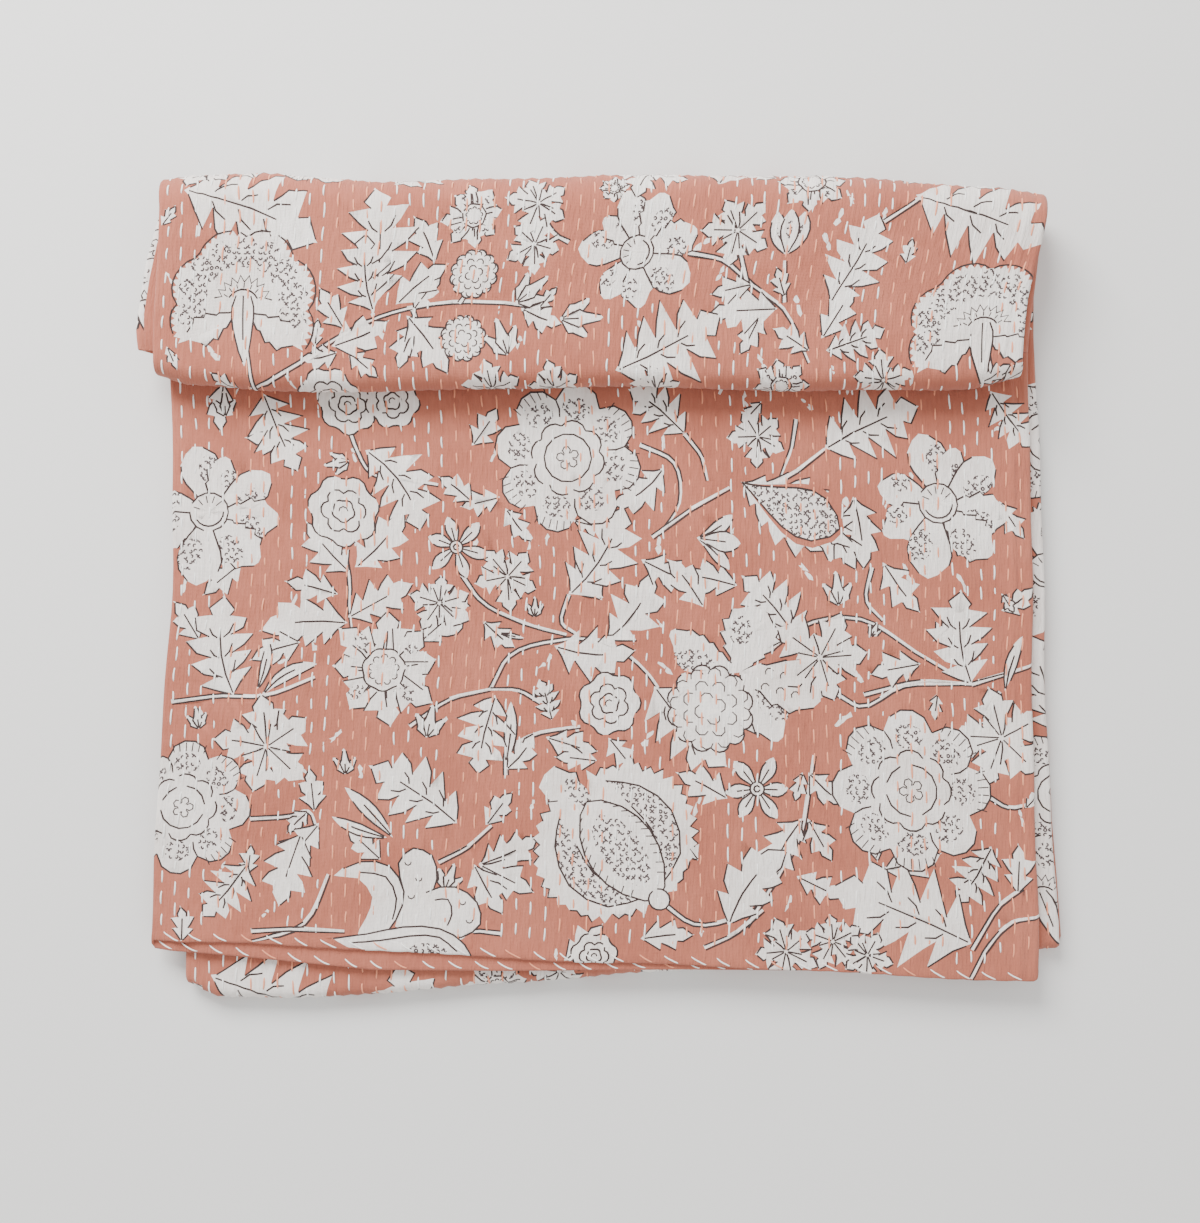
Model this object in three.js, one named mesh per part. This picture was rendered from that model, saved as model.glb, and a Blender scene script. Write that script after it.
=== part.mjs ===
import * as THREE from 'three';

// Kantha quilt of layered printed cotton, lying folded: in thirds across its width, in thirds along
// its length, and then with the far end of the pile turned over towards the viewer as a flap.
// Millimetres, +Z up, +X to the right, +Y away from the viewer. The origin is under the middle of
// the folded quilt, on the surface that it lies on.

// The quilted sheet, through its face cloth, inner cotton and back cloth, and how its layers lie
const SHEET = 2.6;
const LAYER_PITCH = 3.3; // from one layer to the next within a third of the length
const PILE_PITCH = 10.1; // from one third of the length to the next
const BEND_OPENING = 1.2; // radius left free inside the far bend
const EDGE_TUCK = 5; // how far a hidden side edge stops short of the side fold
const LAST_HEM_AT = 0.93; // how far along the flap the hidden hem of the last third lies

// Kantha rows: they run along the sheet, and the cloth stands up in a channel between two rows
const ROW_SPACING = 12.2;
const ROW_DEPTH = 0.35;
const CHANNEL_RISE = 0.55;
const FIELD_SHOWS_TO = 0.76; // the field is covered by the flap past this share of its length
const TIP_SHOWS_FROM = 0.3; // the flap's tip shows from this share of its turn

// The pile is a little loose, so its height swells and sinks gently by this share of itself
const LOFT = 0.035;
const LOFT_WAVE_X = 310;
const LOFT_WAVE_Y = 240;
const LOFT_SHIFT_X = 0.6;
const LOFT_SHIFT_Y = 0.4;

// Heights in the pile, worked out from the sizes above
const PILE_HALF = PILE_PITCH + LAYER_PITCH + SHEET / 2;
const BEND_RADIUS = PILE_HALF + BEND_OPENING;
const BEND_AXIS_Z = PILE_HALF + BEND_RADIUS;
const NEAR_FOLD_RADIUS = PILE_PITCH / 2;
const NEAR_FOLD_REACH = NEAR_FOLD_RADIUS + LAYER_PITCH + SHEET / 2;

// X of the side folds of each third of the length, from a middle line of the pile. The way along the
// pile is 0 at the near end, 1 where the far bend starts, 2 where it ends and 3 at the flap's tip.
const SIDES = [
  { third: 'first', way: 0.0, left: -398, right: 384 },
  { third: 'first', way: 0.09, left: -394, right: 384 },
  { third: 'first', way: 0.17, left: -389, right: 383 },
  { third: 'first', way: 0.35, left: -381, right: 381 },
  { third: 'first', way: 0.5, left: -376, right: 379 },
  { third: 'first', way: 0.78, left: -376, right: 376 },
  { third: 'first', way: 1.0, left: -379, right: 382 },
  { third: 'first', way: 1.5, left: -380, right: 387 },
  { third: 'first', way: 2.0, left: -379, right: 380 },
  { third: 'first', way: 3.0, left: -384, right: 366 },
  { third: 'middle', way: 0.0, left: -365, right: 410 },
  { third: 'middle', way: 0.2, left: -371, right: 403 },
  { third: 'middle', way: 0.4, left: -376, right: 397 },
  { third: 'middle', way: 0.58, left: -378, right: 388 },
  { third: 'middle', way: 1.0, left: -380, right: 384 },
  { third: 'middle', way: 1.5, left: -382, right: 389 },
  { third: 'middle', way: 2.0, left: -377, right: 382 },
  { third: 'middle', way: 2.36, left: -379, right: 372 },
  { third: 'middle', way: 2.55, left: -380, right: 367 },
  { third: 'middle', way: 3.0, left: -381, right: 363 },
  { third: 'last', way: 0.0, left: -367, right: 405 },
  { third: 'last', way: 0.4, left: -377, right: 394 },
  { third: 'last', way: 1.0, left: -380, right: 383 },
  { third: 'last', way: 1.5, left: -381, right: 388 },
  { third: 'last', way: 2.0, left: -380, right: 381 },
  { third: 'last', way: 2.35, left: -393, right: 377 },
  { third: 'last', way: 2.8, left: -400, right: 372 },
  { third: 'last', way: 3.0, left: -397, right: 370 },
];

// Lines that run across the pile, given by their Y at some shares of the way from the left side
// fold to the right one: the hems of the first third, and the outer edges of the cross folds
const CROSS_LINES = [
  { share: 0, leftHem: -297, topHem: -289, rightHem: -291, nearFold: -330, farBend: 377, flapTip: 205 },
  { share: 0.025, leftHem: -299, topHem: -290, rightHem: -292, nearFold: -345, farBend: 379, flapTip: 196 },
  { share: 0.12, leftHem: -305, topHem: -291, rightHem: -294, nearFold: -344, farBend: 383, flapTip: 191 },
  { share: 0.25, leftHem: -313, topHem: -295, rightHem: -297, nearFold: -337, farBend: 377, flapTip: 192 },
  { share: 0.5, leftHem: -316, topHem: -308, rightHem: -304, nearFold: -324, farBend: 380, flapTip: 194 },
  { share: 0.75, leftHem: -315, topHem: -314, rightHem: -311, nearFold: -312, farBend: 381, flapTip: 191 },
  { share: 0.95, leftHem: -314, topHem: -322, rightHem: -319, nearFold: -303, farBend: 372, flapTip: 194 },
  { share: 1, leftHem: -314, topHem: -324, rightHem: -321, nearFold: -301, farBend: 364, flapTip: 203 },
];

// Stretches across the sheet, from the edge of its left third to the edge of its right third
const RIGHTWARD = CROSS_LINES.map((row) => row.share);
const LEFTWARD = RIGHTWARD.map((share) => 1 - share).reverse();
const ACROSS = [
  { stretch: 'left third', steps: LEFTWARD },
  { stretch: 'left fold', steps: [0, 1 / 3, 2 / 3, 1] },
  { stretch: 'middle third', steps: RIGHTWARD },
  { stretch: 'right fold', steps: [0, 0.25, 0.5, 0.75, 1] },
  { stretch: 'right third', steps: LEFTWARD },
];

// Stretches along the sheet, from the hems at the near end to the hems hidden in the flap
const FIELD_STEPS = [0, 0.03, 0.15, 0.3, 0.45, 0.6, 0.76, 1];
const BASE_STEPS = [0, 0.17, 0.34, 0.5, 0.67, 0.83, 1];
const BEND_STEPS = [0, 1 / 6, 1 / 3, 1 / 2, 2 / 3, 5 / 6, 1];
const FLAP_STEPS = [0, 0.35, 0.7, 1];
const TIP_STEPS = [0, 1 / 6, 1 / 3, 1 / 2, 2 / 3, 5 / 6, 1];
const NEAR_STEPS = [0, 0.2, 0.4, 0.6, 0.8, 1];
const ALONG = [
  { third: 'first', zone: 'base', steps: FIELD_STEPS },
  { third: 'first', zone: 'bend', steps: BEND_STEPS },
  { third: 'first', zone: 'flap', steps: FLAP_STEPS },
  { third: 'first', zone: 'tip fold', steps: TIP_STEPS },
  { third: 'middle', zone: 'flap', steps: FLAP_STEPS.toReversed() },
  { third: 'middle', zone: 'bend', steps: BEND_STEPS.toReversed() },
  { third: 'middle', zone: 'base', steps: BASE_STEPS.toReversed() },
  { third: 'middle', zone: 'near fold', steps: NEAR_STEPS },
  { third: 'last', zone: 'base', steps: BASE_STEPS },
  { third: 'last', zone: 'bend', steps: BEND_STEPS },
  { third: 'last', zone: 'flap', steps: [0, 0.5, LAST_HEM_AT] },
];
const ZONE_START = { base: 0, bend: 1, flap: 2 };

function mix(a, b, share) {
  return a + (b - a) * share;
}

// The value of one column of a table at a place between its rows
function readTable(rows, key, place, column) {
  const last = rows.length - 1;
  if (place <= rows[0][key]) return rows[0][column];
  if (place >= rows[last][key]) return rows[last][column];
  const above = rows.findIndex((row) => row[key] > place);
  const low = rows[above - 1];
  const high = rows[above];
  return mix(low[column], high[column], (place - low[key]) / (high[key] - low[key]));
}

function sideAt(third, way, side) {
  return readTable(SIDES.filter((row) => row.third === third), 'way', way, side);
}

// Where the two side folds lie at one step along the sheet
function sidesOf(step) {
  const side = (name) => {
    if (step.zone === 'tip fold') {
      return mix(sideAt('first', 3, name), sideAt('middle', 3, name), step.at);
    }
    if (step.zone === 'near fold') {
      return mix(sideAt('middle', 0, name), sideAt('last', 0, name), step.at);
    }
    return sideAt(step.third, ZONE_START[step.zone] + step.at, name);
  };
  return { left: side('left'), right: side('right') };
}

// A point of the section across the sheet: its X, and its height above the middle layer.
// Skin is the distance from the middle of the sheet's thickness towards the printed face.
function sectionPoint(column, sides, skin) {
  const leftFoldX = sides.left + LAYER_PITCH / 2;
  const rightFoldX = sides.right - LAYER_PITCH;
  const turn = Math.PI * column.at;
  switch (column.stretch) {
    case 'left third': {
      const x = mix(rightFoldX, leftFoldX, column.at);
      return { x: Math.min(x, rightFoldX - EDGE_TUCK), height: -skin };
    }
    case 'left fold': {
      const radius = LAYER_PITCH / 2 + skin;
      return {
        x: leftFoldX - radius * Math.sin(turn),
        height: LAYER_PITCH / 2 - radius * Math.cos(turn),
      };
    }
    case 'middle third':
      return { x: mix(leftFoldX, rightFoldX, column.at), height: LAYER_PITCH + skin };
    case 'right fold': {
      const radius = LAYER_PITCH + skin;
      return {
        x: rightFoldX + radius * Math.sin(turn),
        height: radius * Math.cos(turn),
      };
    }
    default: {
      const x = mix(rightFoldX, leftFoldX, column.at);
      return { x: Math.max(x, leftFoldX + EDGE_TUCK), height: -LAYER_PITCH - skin };
    }
  }
}

// How far a column lies on the way from the left side fold to the right one
function shareOf(column) {
  const tuck = EDGE_TUCK / (sideAt('first', 1, 'right') - sideAt('first', 1, 'left'));
  switch (column.stretch) {
    case 'left third':
      return Math.min(1 - column.at, 1 - tuck);
    case 'left fold':
      return 0;
    case 'middle third':
      return column.at;
    case 'right fold':
      return 1;
    default:
      return Math.max(1 - column.at, tuck);
  }
}

function crossLine(column, line) {
  return readTable(CROSS_LINES, 'share', shareOf(column), line);
}

// The hem at the near end of the first third, for each stretch across the sheet
function hemY(column) {
  const left = crossLine(column, 'leftHem');
  const top = crossLine(column, 'topHem');
  const right = crossLine(column, 'rightHem');
  switch (column.stretch) {
    case 'left third':
      return left;
    case 'left fold':
      return mix(left, top, column.at);
    case 'middle third':
      return top;
    case 'right fold':
      return mix(top, right, column.at);
    default:
      return right;
  }
}

// Height of a layer above the middle of the pile, for each third of the length
function pileHeight(third, height) {
  if (third === 'first') return PILE_PITCH + height;
  if (third === 'middle') return -PILE_PITCH - height;
  return height;
}

// Carries a point of the section to its place along the pile, round the folds and the far bend
function alongPile(step, column, height) {
  const bendY = crossLine(column, 'farBend') - BEND_RADIUS - PILE_HALF;
  const tipY = crossLine(column, 'flapTip') + PILE_HALF;
  const foldY = crossLine(column, 'nearFold') + NEAR_FOLD_REACH;
  const turn = Math.PI * step.at;
  const level = pileHeight(step.third, height);
  switch (step.zone) {
    case 'base': {
      const nearY = step.third === 'first' ? hemY(column) : foldY;
      return { y: mix(nearY, bendY, step.at), z: PILE_HALF + level };
    }
    case 'bend': {
      const radius = BEND_RADIUS - level;
      return {
        y: bendY + radius * Math.sin(turn),
        z: BEND_AXIS_Z - radius * Math.cos(turn),
      };
    }
    case 'flap':
      return { y: mix(bendY, tipY, step.at), z: BEND_AXIS_Z + BEND_RADIUS - level };
    case 'tip fold': {
      const radius = PILE_PITCH + height;
      return {
        y: tipY - radius * Math.sin(turn),
        z: BEND_AXIS_Z + BEND_RADIUS - radius * Math.cos(turn),
      };
    }
    default: {
      const radius = NEAR_FOLD_RADIUS + height;
      return {
        y: foldY - radius * Math.sin(turn),
        z: PILE_HALF - NEAR_FOLD_RADIUS - radius * Math.cos(turn),
      };
    }
  }
}

function loftAt(x, y) {
  const waveX = Math.sin(x / LOFT_WAVE_X + LOFT_SHIFT_X);
  const waveY = Math.cos(y / LOFT_WAVE_Y - LOFT_SHIFT_Y);
  return 1 + LOFT * waveX * waveY;
}

function sheetPoint(step, column, sides, skin) {
  const point = sectionPoint(column, sides, skin);
  const { y, z } = alongPile(step, column, point.height);
  return [point.x, y, z * loftAt(point.x, y)];
}

// Steps along the sheet. A step is channelled where the printed face of its middle third shows, and
// the channels stay level at the hem and where the pile meets the surface it lies on.
function listSteps() {
  const steps = [];
  for (const { third, zone, steps: places } of ALONG) {
    for (const at of steps.length === 0 ? places : places.slice(1)) {
      const field = third === 'first' && zone === 'base' && at <= FIELD_SHOWS_TO;
      const tip = zone === 'tip fold' && at > TIP_SHOWS_FROM;
      const flap = third === 'middle' && (zone === 'flap' || zone === 'bend');
      const level = steps.length === 0 || (third === 'middle' && zone === 'bend' && at === 0);
      steps.push({ third, zone, at, channelled: field || tip || flap, rise: level ? 0 : 1 });
    }
  }
  return steps;
}

// Places across the sheet. A channelled row has one at each kantha row and one between them.
function listColumns(channelled) {
  const columns = [];
  const width = sideAt('first', 0.5, 'right') - sideAt('first', 0.5, 'left');
  const halfChannels = 2 * Math.round(width / ROW_SPACING);
  const channelPlaces = Array.from({ length: halfChannels + 1 }, (_, i) => i / halfChannels);
  ACROSS.forEach((part, index) => {
    const raised = channelled && part.stretch === 'middle third';
    const places = raised ? channelPlaces : part.steps;
    places.forEach((at, i) => {
      if (index > 0 && i === 0) return;
      const edge = i === places.length - 1;
      const rise = !raised || edge ? 0 : i % 2 === 1 ? CHANNEL_RISE : -ROW_DEPTH;
      columns.push({ stretch: part.stretch, at, order: index + at, rise });
    });
  });
  return columns;
}

// One row of points across the sheet, each with its number and its place in the row
function layRow(positions, step, channelled, skin) {
  const sides = sidesOf(step);
  return listColumns(channelled).map((column) => {
    const index = positions.length / 3;
    positions.push(...sheetPoint(step, column, sides, skin + column.rise * step.rise));
    return { index, order: column.order };
  });
}

// Joins two rows with triangles, and either of them may have more points
function joinRows(faces, rowA, rowB, turned) {
  let a = 0;
  let b = 0;
  while (a < rowA.length - 1 || b < rowB.length - 1) {
    const nextA = a < rowA.length - 1 ? rowA[a + 1].order : Infinity;
    const nextB = b < rowB.length - 1 ? rowB[b + 1].order : Infinity;
    const stepOnA = nextA <= nextB;
    const corner = stepOnA ? rowA[a + 1].index : rowB[b + 1].index;
    const triangle = [rowA[a].index, corner, rowB[b].index];
    faces.push(...(turned ? triangle.reverse() : triangle));
    if (stepOnA) a += 1;
    else b += 1;
  }
}

function quiltGeometry() {
  const positions = [];
  const faces = [];
  const steps = listSteps();
  const printed = steps.map((step) => layRow(positions, step, step.channelled, SHEET / 2));
  const plain = steps.map((step) => layRow(positions, step, false, -SHEET / 2));
  for (let i = 0; i + 1 < steps.length; i++) {
    joinRows(faces, printed[i], printed[i + 1], false);
    joinRows(faces, plain[i], plain[i + 1], true);
  }
  // The hems close the sheet at its two ends, and the side edges close it along its length
  joinRows(faces, printed[0], plain[0], true);
  joinRows(faces, printed.at(-1), plain.at(-1), false);
  const edge = (rows, place) => rows.map((row, i) => ({ index: row.at(place).index, order: i }));
  joinRows(faces, edge(printed, 0), edge(plain, 0), false);
  joinRows(faces, edge(printed, -1), edge(plain, -1), true);

  const geometry = new THREE.BufferGeometry();
  geometry.setAttribute('position', new THREE.Float32BufferAttribute(positions, 3));
  geometry.setIndex(faces);
  geometry.computeBoundingBox();
  const { min, max } = geometry.boundingBox;
  geometry.translate(-(min.x + max.x) / 2, -(min.y + max.y) / 2, -min.z);
  geometry.computeVertexNormals();
  return geometry;
}

const printedCotton = new THREE.MeshStandardMaterial({
  color: 0xc88675,
  roughness: 0.92,
  metalness: 0,
});

const quilt = new THREE.Mesh(quiltGeometry(), printedCotton);
quilt.name = 'quilt';

const foldedQuilt = new THREE.Group();
foldedQuilt.add(quilt);

export default foldedQuilt;
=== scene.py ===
import math

import bpy
import numpy as np
from mathutils.geometry import delaunay_2d_cdt
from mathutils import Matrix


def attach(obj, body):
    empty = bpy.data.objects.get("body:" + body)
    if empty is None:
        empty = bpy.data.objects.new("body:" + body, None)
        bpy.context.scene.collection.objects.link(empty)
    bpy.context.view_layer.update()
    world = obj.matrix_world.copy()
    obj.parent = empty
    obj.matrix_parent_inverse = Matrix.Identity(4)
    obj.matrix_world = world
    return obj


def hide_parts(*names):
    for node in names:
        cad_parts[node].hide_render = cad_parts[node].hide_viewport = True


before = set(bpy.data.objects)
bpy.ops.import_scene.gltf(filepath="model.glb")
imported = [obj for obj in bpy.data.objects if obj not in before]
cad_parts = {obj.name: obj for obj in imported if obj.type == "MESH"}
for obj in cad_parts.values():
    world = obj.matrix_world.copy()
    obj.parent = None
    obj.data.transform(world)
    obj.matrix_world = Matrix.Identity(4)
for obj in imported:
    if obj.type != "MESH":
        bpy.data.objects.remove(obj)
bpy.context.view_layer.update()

# Quilt body. A printed cotton face, thin cotton layers and a plain cotton back are laid together,
# quilted through by hand into one sheet with turned in hems, then folded in thirds across its width,
# in thirds along its length, and turned over at the far end. Millimetres, until the mesh is made.
MM = 0.001
SHEET = 2.6
LAYER_PITCH = 3.3  # from one layer to the next within a third of the length
PILE_PITCH = 10.1  # from one third of the length to the next
BEND_OPENING = 1.2
EDGE_TUCK = 5.0
PILE_HALF = PILE_PITCH + LAYER_PITCH + SHEET / 2
BEND_RADIUS = PILE_HALF + BEND_OPENING
BEND_AXIS_Z = PILE_HALF + BEND_RADIUS
NEAR_FOLD_RADIUS = PILE_PITCH / 2
NEAR_FOLD_REACH = NEAR_FOLD_RADIUS + LAYER_PITCH + SHEET / 2
PILE_AT = np.array([-6.17, -19.49])

# Side folds of each third of the length. Columns: way along the pile (0 near end, 1 and 2 the ends of
# the far bend, 3 the flap's tip), x of the left fold, x of the right fold
SIDES = {
    "first": np.array([
        (0.0, -398, 384), (0.09, -394, 384), (0.17, -389, 383), (0.35, -381, 381), (0.5, -376, 379),
        (0.78, -376, 376), (1.0, -379, 382), (1.5, -380, 387), (2.0, -379, 380), (3.0, -384, 366),
    ]),
    "middle": np.array([
        (0.0, -365, 410), (0.2, -371, 403), (0.4, -376, 397), (0.58, -378, 388), (1.0, -380, 384),
        (1.5, -382, 389), (2.0, -377, 382), (2.36, -379, 372), (2.55, -380, 367), (3.0, -381, 363),
    ]),
    "last": np.array([
        (0.0, -367, 405), (0.4, -377, 394), (1.0, -380, 383), (1.5, -381, 388), (2.0, -380, 381),
        (2.35, -393, 377), (2.8, -400, 372), (3.0, -397, 370),
    ]),
}

# Lines across the pile, by their y. Columns: share of the way from left to right, hem of the left,
# the middle and the right third at the near end, near fold, far bend, flap's tip
CROSS_LINES = np.array([
    (0.0, -297, -289, -291, -330, 377, 205),
    (0.025, -299, -290, -292, -345, 379, 196),
    (0.12, -305, -291, -294, -344, 383, 191),
    (0.25, -313, -295, -297, -337, 377, 192),
    (0.5, -316, -308, -304, -324, 380, 194),
    (0.75, -315, -314, -311, -312, 381, 191),
    (0.95, -314, -322, -319, -303, 372, 194),
    (1.0, -314, -324, -321, -301, 364, 203),
])
LEFT_HEM, TOP_HEM, RIGHT_HEM, NEAR_FOLD, FAR_BEND, FLAP_TIP = range(1, 7)
LEFT_SIDE, RIGHT_SIDE = 1, 2
SIDE_ROUNDING = 0.04
CROSS_ROUNDING = 0.012

# Stretches across the flat sheet, by u: x on the middle third, and beyond it the way round the folds
LEFT_FOLD_U = -385.2
MIDDLE_U = -380.0
RIGHT_FOLD_U = 380.0
RIGHT_U = 390.4
SIDE_WIDTH = 760.0
SHEET_LEFT = LEFT_FOLD_U - SIDE_WIDTH + EDGE_TUCK
SHEET_RIGHT = RIGHT_U + SIDE_WIDTH - EDGE_TUCK

# Stretches along the flat sheet, by v from the hems at the near end. Columns: third, zone, v where it
# starts, v where it ends, and the way along the pile (or round the fold) at those two places
ALONG = [
    ("first", "base", 0, 653, 0, 1),
    ("first", "bend", 653, 661, 0, 1),
    ("first", "flap", 661, 801, 0, 1),
    ("first", "tip fold", 801, 843, 0, 1),
    ("middle", "flap", 843, 983, 1, 0),
    ("middle", "bend", 983, 1075, 1, 0),
    ("middle", "base", 1075, 1737, 1, 0),
    ("middle", "near fold", 1737, 1763, 0, 1),
    ("last", "base", 1763, 2425, 0, 1),
    ("last", "bend", 2425, 2465, 0, 1),
    ("last", "flap", 2465, 2595, 0, 0.93),
]
SHEET_END = ALONG[-1][3]
ZONE_WAY = {"base": 0, "bend": 1, "flap": 2}

# The near left corner stands out past the layers below it and hangs a little
CORNER_SAG = 6
CORNER_X = -366
CORNER_Y = -150
CORNER_WIDTH = 34
CORNER_LENGTH = 130
# Unevenness of the whole pile. Columns: how far it strays, over what length, from which turn
SIDEWAYS_STRAY = [(1.3, 57, 0.4), (0.7, 23, 1.1)]
LENGTHWAYS_STRAY = [(1.1, 71, 0.9), (0.6, 29, 0)]
PLUMPNESS = 0.035


def mix(a, b, share):
    return a + (b - a) * share


def read_soft(table, place, column, spread):
    """A column of a table at some places, with its corners rounded over a short spread."""
    offsets = np.array([-1.0, -0.5, 0.0, 0.5, 1.0]) * spread
    reads = [np.interp(place + o, table[:, 0], table[:, column]) for o in offsets]
    return np.mean(reads, axis=0)


def cross_section(u, left, right, skin):
    """X, height above the middle layer, and share of the way to the right fold, across the sheet."""
    left_x = left + LAYER_PITCH / 2
    right_x = right - LAYER_PITCH
    x = np.empty_like(u)
    height = np.empty_like(u)
    share = np.empty_like(u)

    m = u < LEFT_FOLD_U
    share[m] = (LEFT_FOLD_U - u[m]) / SIDE_WIDTH
    x[m] = mix(left_x, right_x, share)[m]
    height[m] = -skin[m]

    m = (u >= LEFT_FOLD_U) & (u < MIDDLE_U)
    turn = math.pi * (u - LEFT_FOLD_U) / (MIDDLE_U - LEFT_FOLD_U)
    radius = LAYER_PITCH / 2 + skin
    x[m] = (left_x - radius * np.sin(turn))[m]
    height[m] = (LAYER_PITCH / 2 - radius * np.cos(turn))[m]
    share[m] = 0

    m = (u >= MIDDLE_U) & (u <= RIGHT_FOLD_U)
    share[m] = ((u - MIDDLE_U) / (RIGHT_FOLD_U - MIDDLE_U))[m]
    x[m] = mix(left_x, right_x, share)[m]
    height[m] = (LAYER_PITCH + skin)[m]

    m = (u > RIGHT_FOLD_U) & (u <= RIGHT_U)
    turn = math.pi * (u - RIGHT_FOLD_U) / (RIGHT_U - RIGHT_FOLD_U)
    radius = LAYER_PITCH + skin
    x[m] = (right_x + radius * np.sin(turn))[m]
    height[m] = (radius * np.cos(turn))[m]
    share[m] = 1

    m = u > RIGHT_U
    share[m] = 1 - (u[m] - RIGHT_U) / SIDE_WIDTH
    x[m] = mix(left_x, right_x, share)[m]
    height[m] = (-LAYER_PITCH - skin)[m]
    return x, height, share


def near_hem(u, share):
    """Y of the hem at the near end, for each stretch across the sheet."""
    left, top, right = (
        read_soft(CROSS_LINES, share, column, CROSS_ROUNDING)
        for column in (LEFT_HEM, TOP_HEM, RIGHT_HEM)
    )
    hem = np.where(u < LEFT_FOLD_U, left, top)
    hem = np.where(u > RIGHT_U, right, hem)
    m = (u >= LEFT_FOLD_U) & (u < MIDDLE_U)
    hem[m] = mix(left, top, (u - LEFT_FOLD_U) / (MIDDLE_U - LEFT_FOLD_U))[m]
    m = (u > RIGHT_FOLD_U) & (u <= RIGHT_U)
    hem[m] = mix(top, right, (u - RIGHT_FOLD_U) / (RIGHT_U - RIGHT_FOLD_U))[m]
    return hem


def smooth_step(value):
    value = np.clip(value, 0, 1)
    return value * value * (3 - 2 * value)


def stray(place, waves):
    return sum(reach * np.sin(place / length + start) for reach, length, start in waves)


def fold_sheet(u, v, skin):
    """Carries points of the flat sheet, and their distance from its middle, to the folded pile."""
    u, v, skin = np.broadcast_arrays(np.float64(u), np.float64(v), np.float64(skin))
    place = np.zeros(u.shape + (3,))
    for third, zone, start, end, way_start, way_end in ALONG:
        first = start == 0
        last = end == SHEET_END
        m = ((v >= start) | first) & ((v < end) | last)
        if not m.any():
            continue
        at = mix(way_start, way_end, (v[m] - start) / (end - start))
        if zone == "tip fold":
            thirds = [("first", 3, 1 - at), ("middle", 3, at)]
        elif zone == "near fold":
            thirds = [("middle", 0, 1 - at), ("last", 0, at)]
        else:
            thirds = [(third, ZONE_WAY[zone] + at, 1)]
        left, right = (
            sum(part * read_soft(SIDES[t], way + 0 * at, side, SIDE_ROUNDING) for t, way, part in thirds)
            for side in (LEFT_SIDE, RIGHT_SIDE)
        )
        x, height, share = cross_section(u[m], left, right, skin[m])
        bend_y, tip_y, fold_y = (
            read_soft(CROSS_LINES, share, column, CROSS_ROUNDING)
            for column in (FAR_BEND, FLAP_TIP, NEAR_FOLD)
        )
        bend_y = bend_y - BEND_RADIUS - PILE_HALF
        tip_y = tip_y + PILE_HALF
        fold_y = fold_y + NEAR_FOLD_REACH
        level = {
            "first": PILE_PITCH + height,
            "middle": -PILE_PITCH - height,
            "last": height,
        }[third]
        turn = math.pi * at
        if zone == "base":
            near_y = near_hem(u[m], share) if third == "first" else fold_y
            y = mix(near_y, bend_y, at)
            z = PILE_HALF + level
        elif zone == "bend":
            y = bend_y + (BEND_RADIUS - level) * np.sin(turn)
            z = BEND_AXIS_Z - (BEND_RADIUS - level) * np.cos(turn)
        elif zone == "flap":
            y = mix(bend_y, tip_y, at)
            z = BEND_AXIS_Z + BEND_RADIUS - level
        elif zone == "tip fold":
            y = tip_y - (PILE_PITCH + height) * np.sin(turn)
            z = BEND_AXIS_Z + BEND_RADIUS - (PILE_PITCH + height) * np.cos(turn)
        else:
            y = fold_y - (NEAR_FOLD_RADIUS + height) * np.sin(turn)
            z = PILE_HALF - NEAR_FOLD_RADIUS - (NEAR_FOLD_RADIUS + height) * np.cos(turn)
        if third == "first" and zone == "base":
            sag = smooth_step((CORNER_X - x) / CORNER_WIDTH) * smooth_step((CORNER_Y - y) / CORNER_LENGTH)
            z = z - CORNER_SAG * sag
        z = z * (1 + PLUMPNESS * np.sin(x / 310 + 0.6) * np.cos(y / 240 - 0.4))
        place[m] = np.column_stack((x, y, z))
    x, y = place[..., 0].copy(), place[..., 1].copy()
    place[..., 0] += stray(y, SIDEWAYS_STRAY) + PILE_AT[0]
    place[..., 1] += stray(x, LENGTHWAYS_STRAY) + PILE_AT[1]
    return place


# Kantha rows run along the sheet, and the cloth stands up in soft channels between them
ROW_PITCH = 12.26
FIRST_ROW = -374.0
ROWS = 62
ROW_DEPTH = 0.5
CREST = 1.45
HEM_SCALLOP = 0.7
WHIP_PITCH = 22.8
# Stretches along the sheet that show: v where one starts, over what length, v where it ends, likewise
SHOWN = [(0, 7, 560, 25), (812, 14, 1068, 20), (1740, 8, 1812, 20)]
SHOWN_HALF = 378
# Soft ridges beside the right fold. Columns: u, how far it winds, over what length, width, height
RIDGES = [(366, 2, 60, 1.9, 1.0), (373.5, 1.5, 45, 1.7, 0.8)]
TROUGH = 1.7


def near_line(value, middle, width):
    return np.exp(-(((value - middle) / width) ** 2))


def shows(u, v):
    """1 where the printed face shows and stands free, and 0 where a layer lies on it."""
    across = smooth_step((SHOWN_HALF - np.abs(u)) / 6)
    along = [
        smooth_step((v - start) / rise) * smooth_step((end - v) / fall)
        for start, rise, end, fall in SHOWN
    ]
    return across * sum(along)


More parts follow.
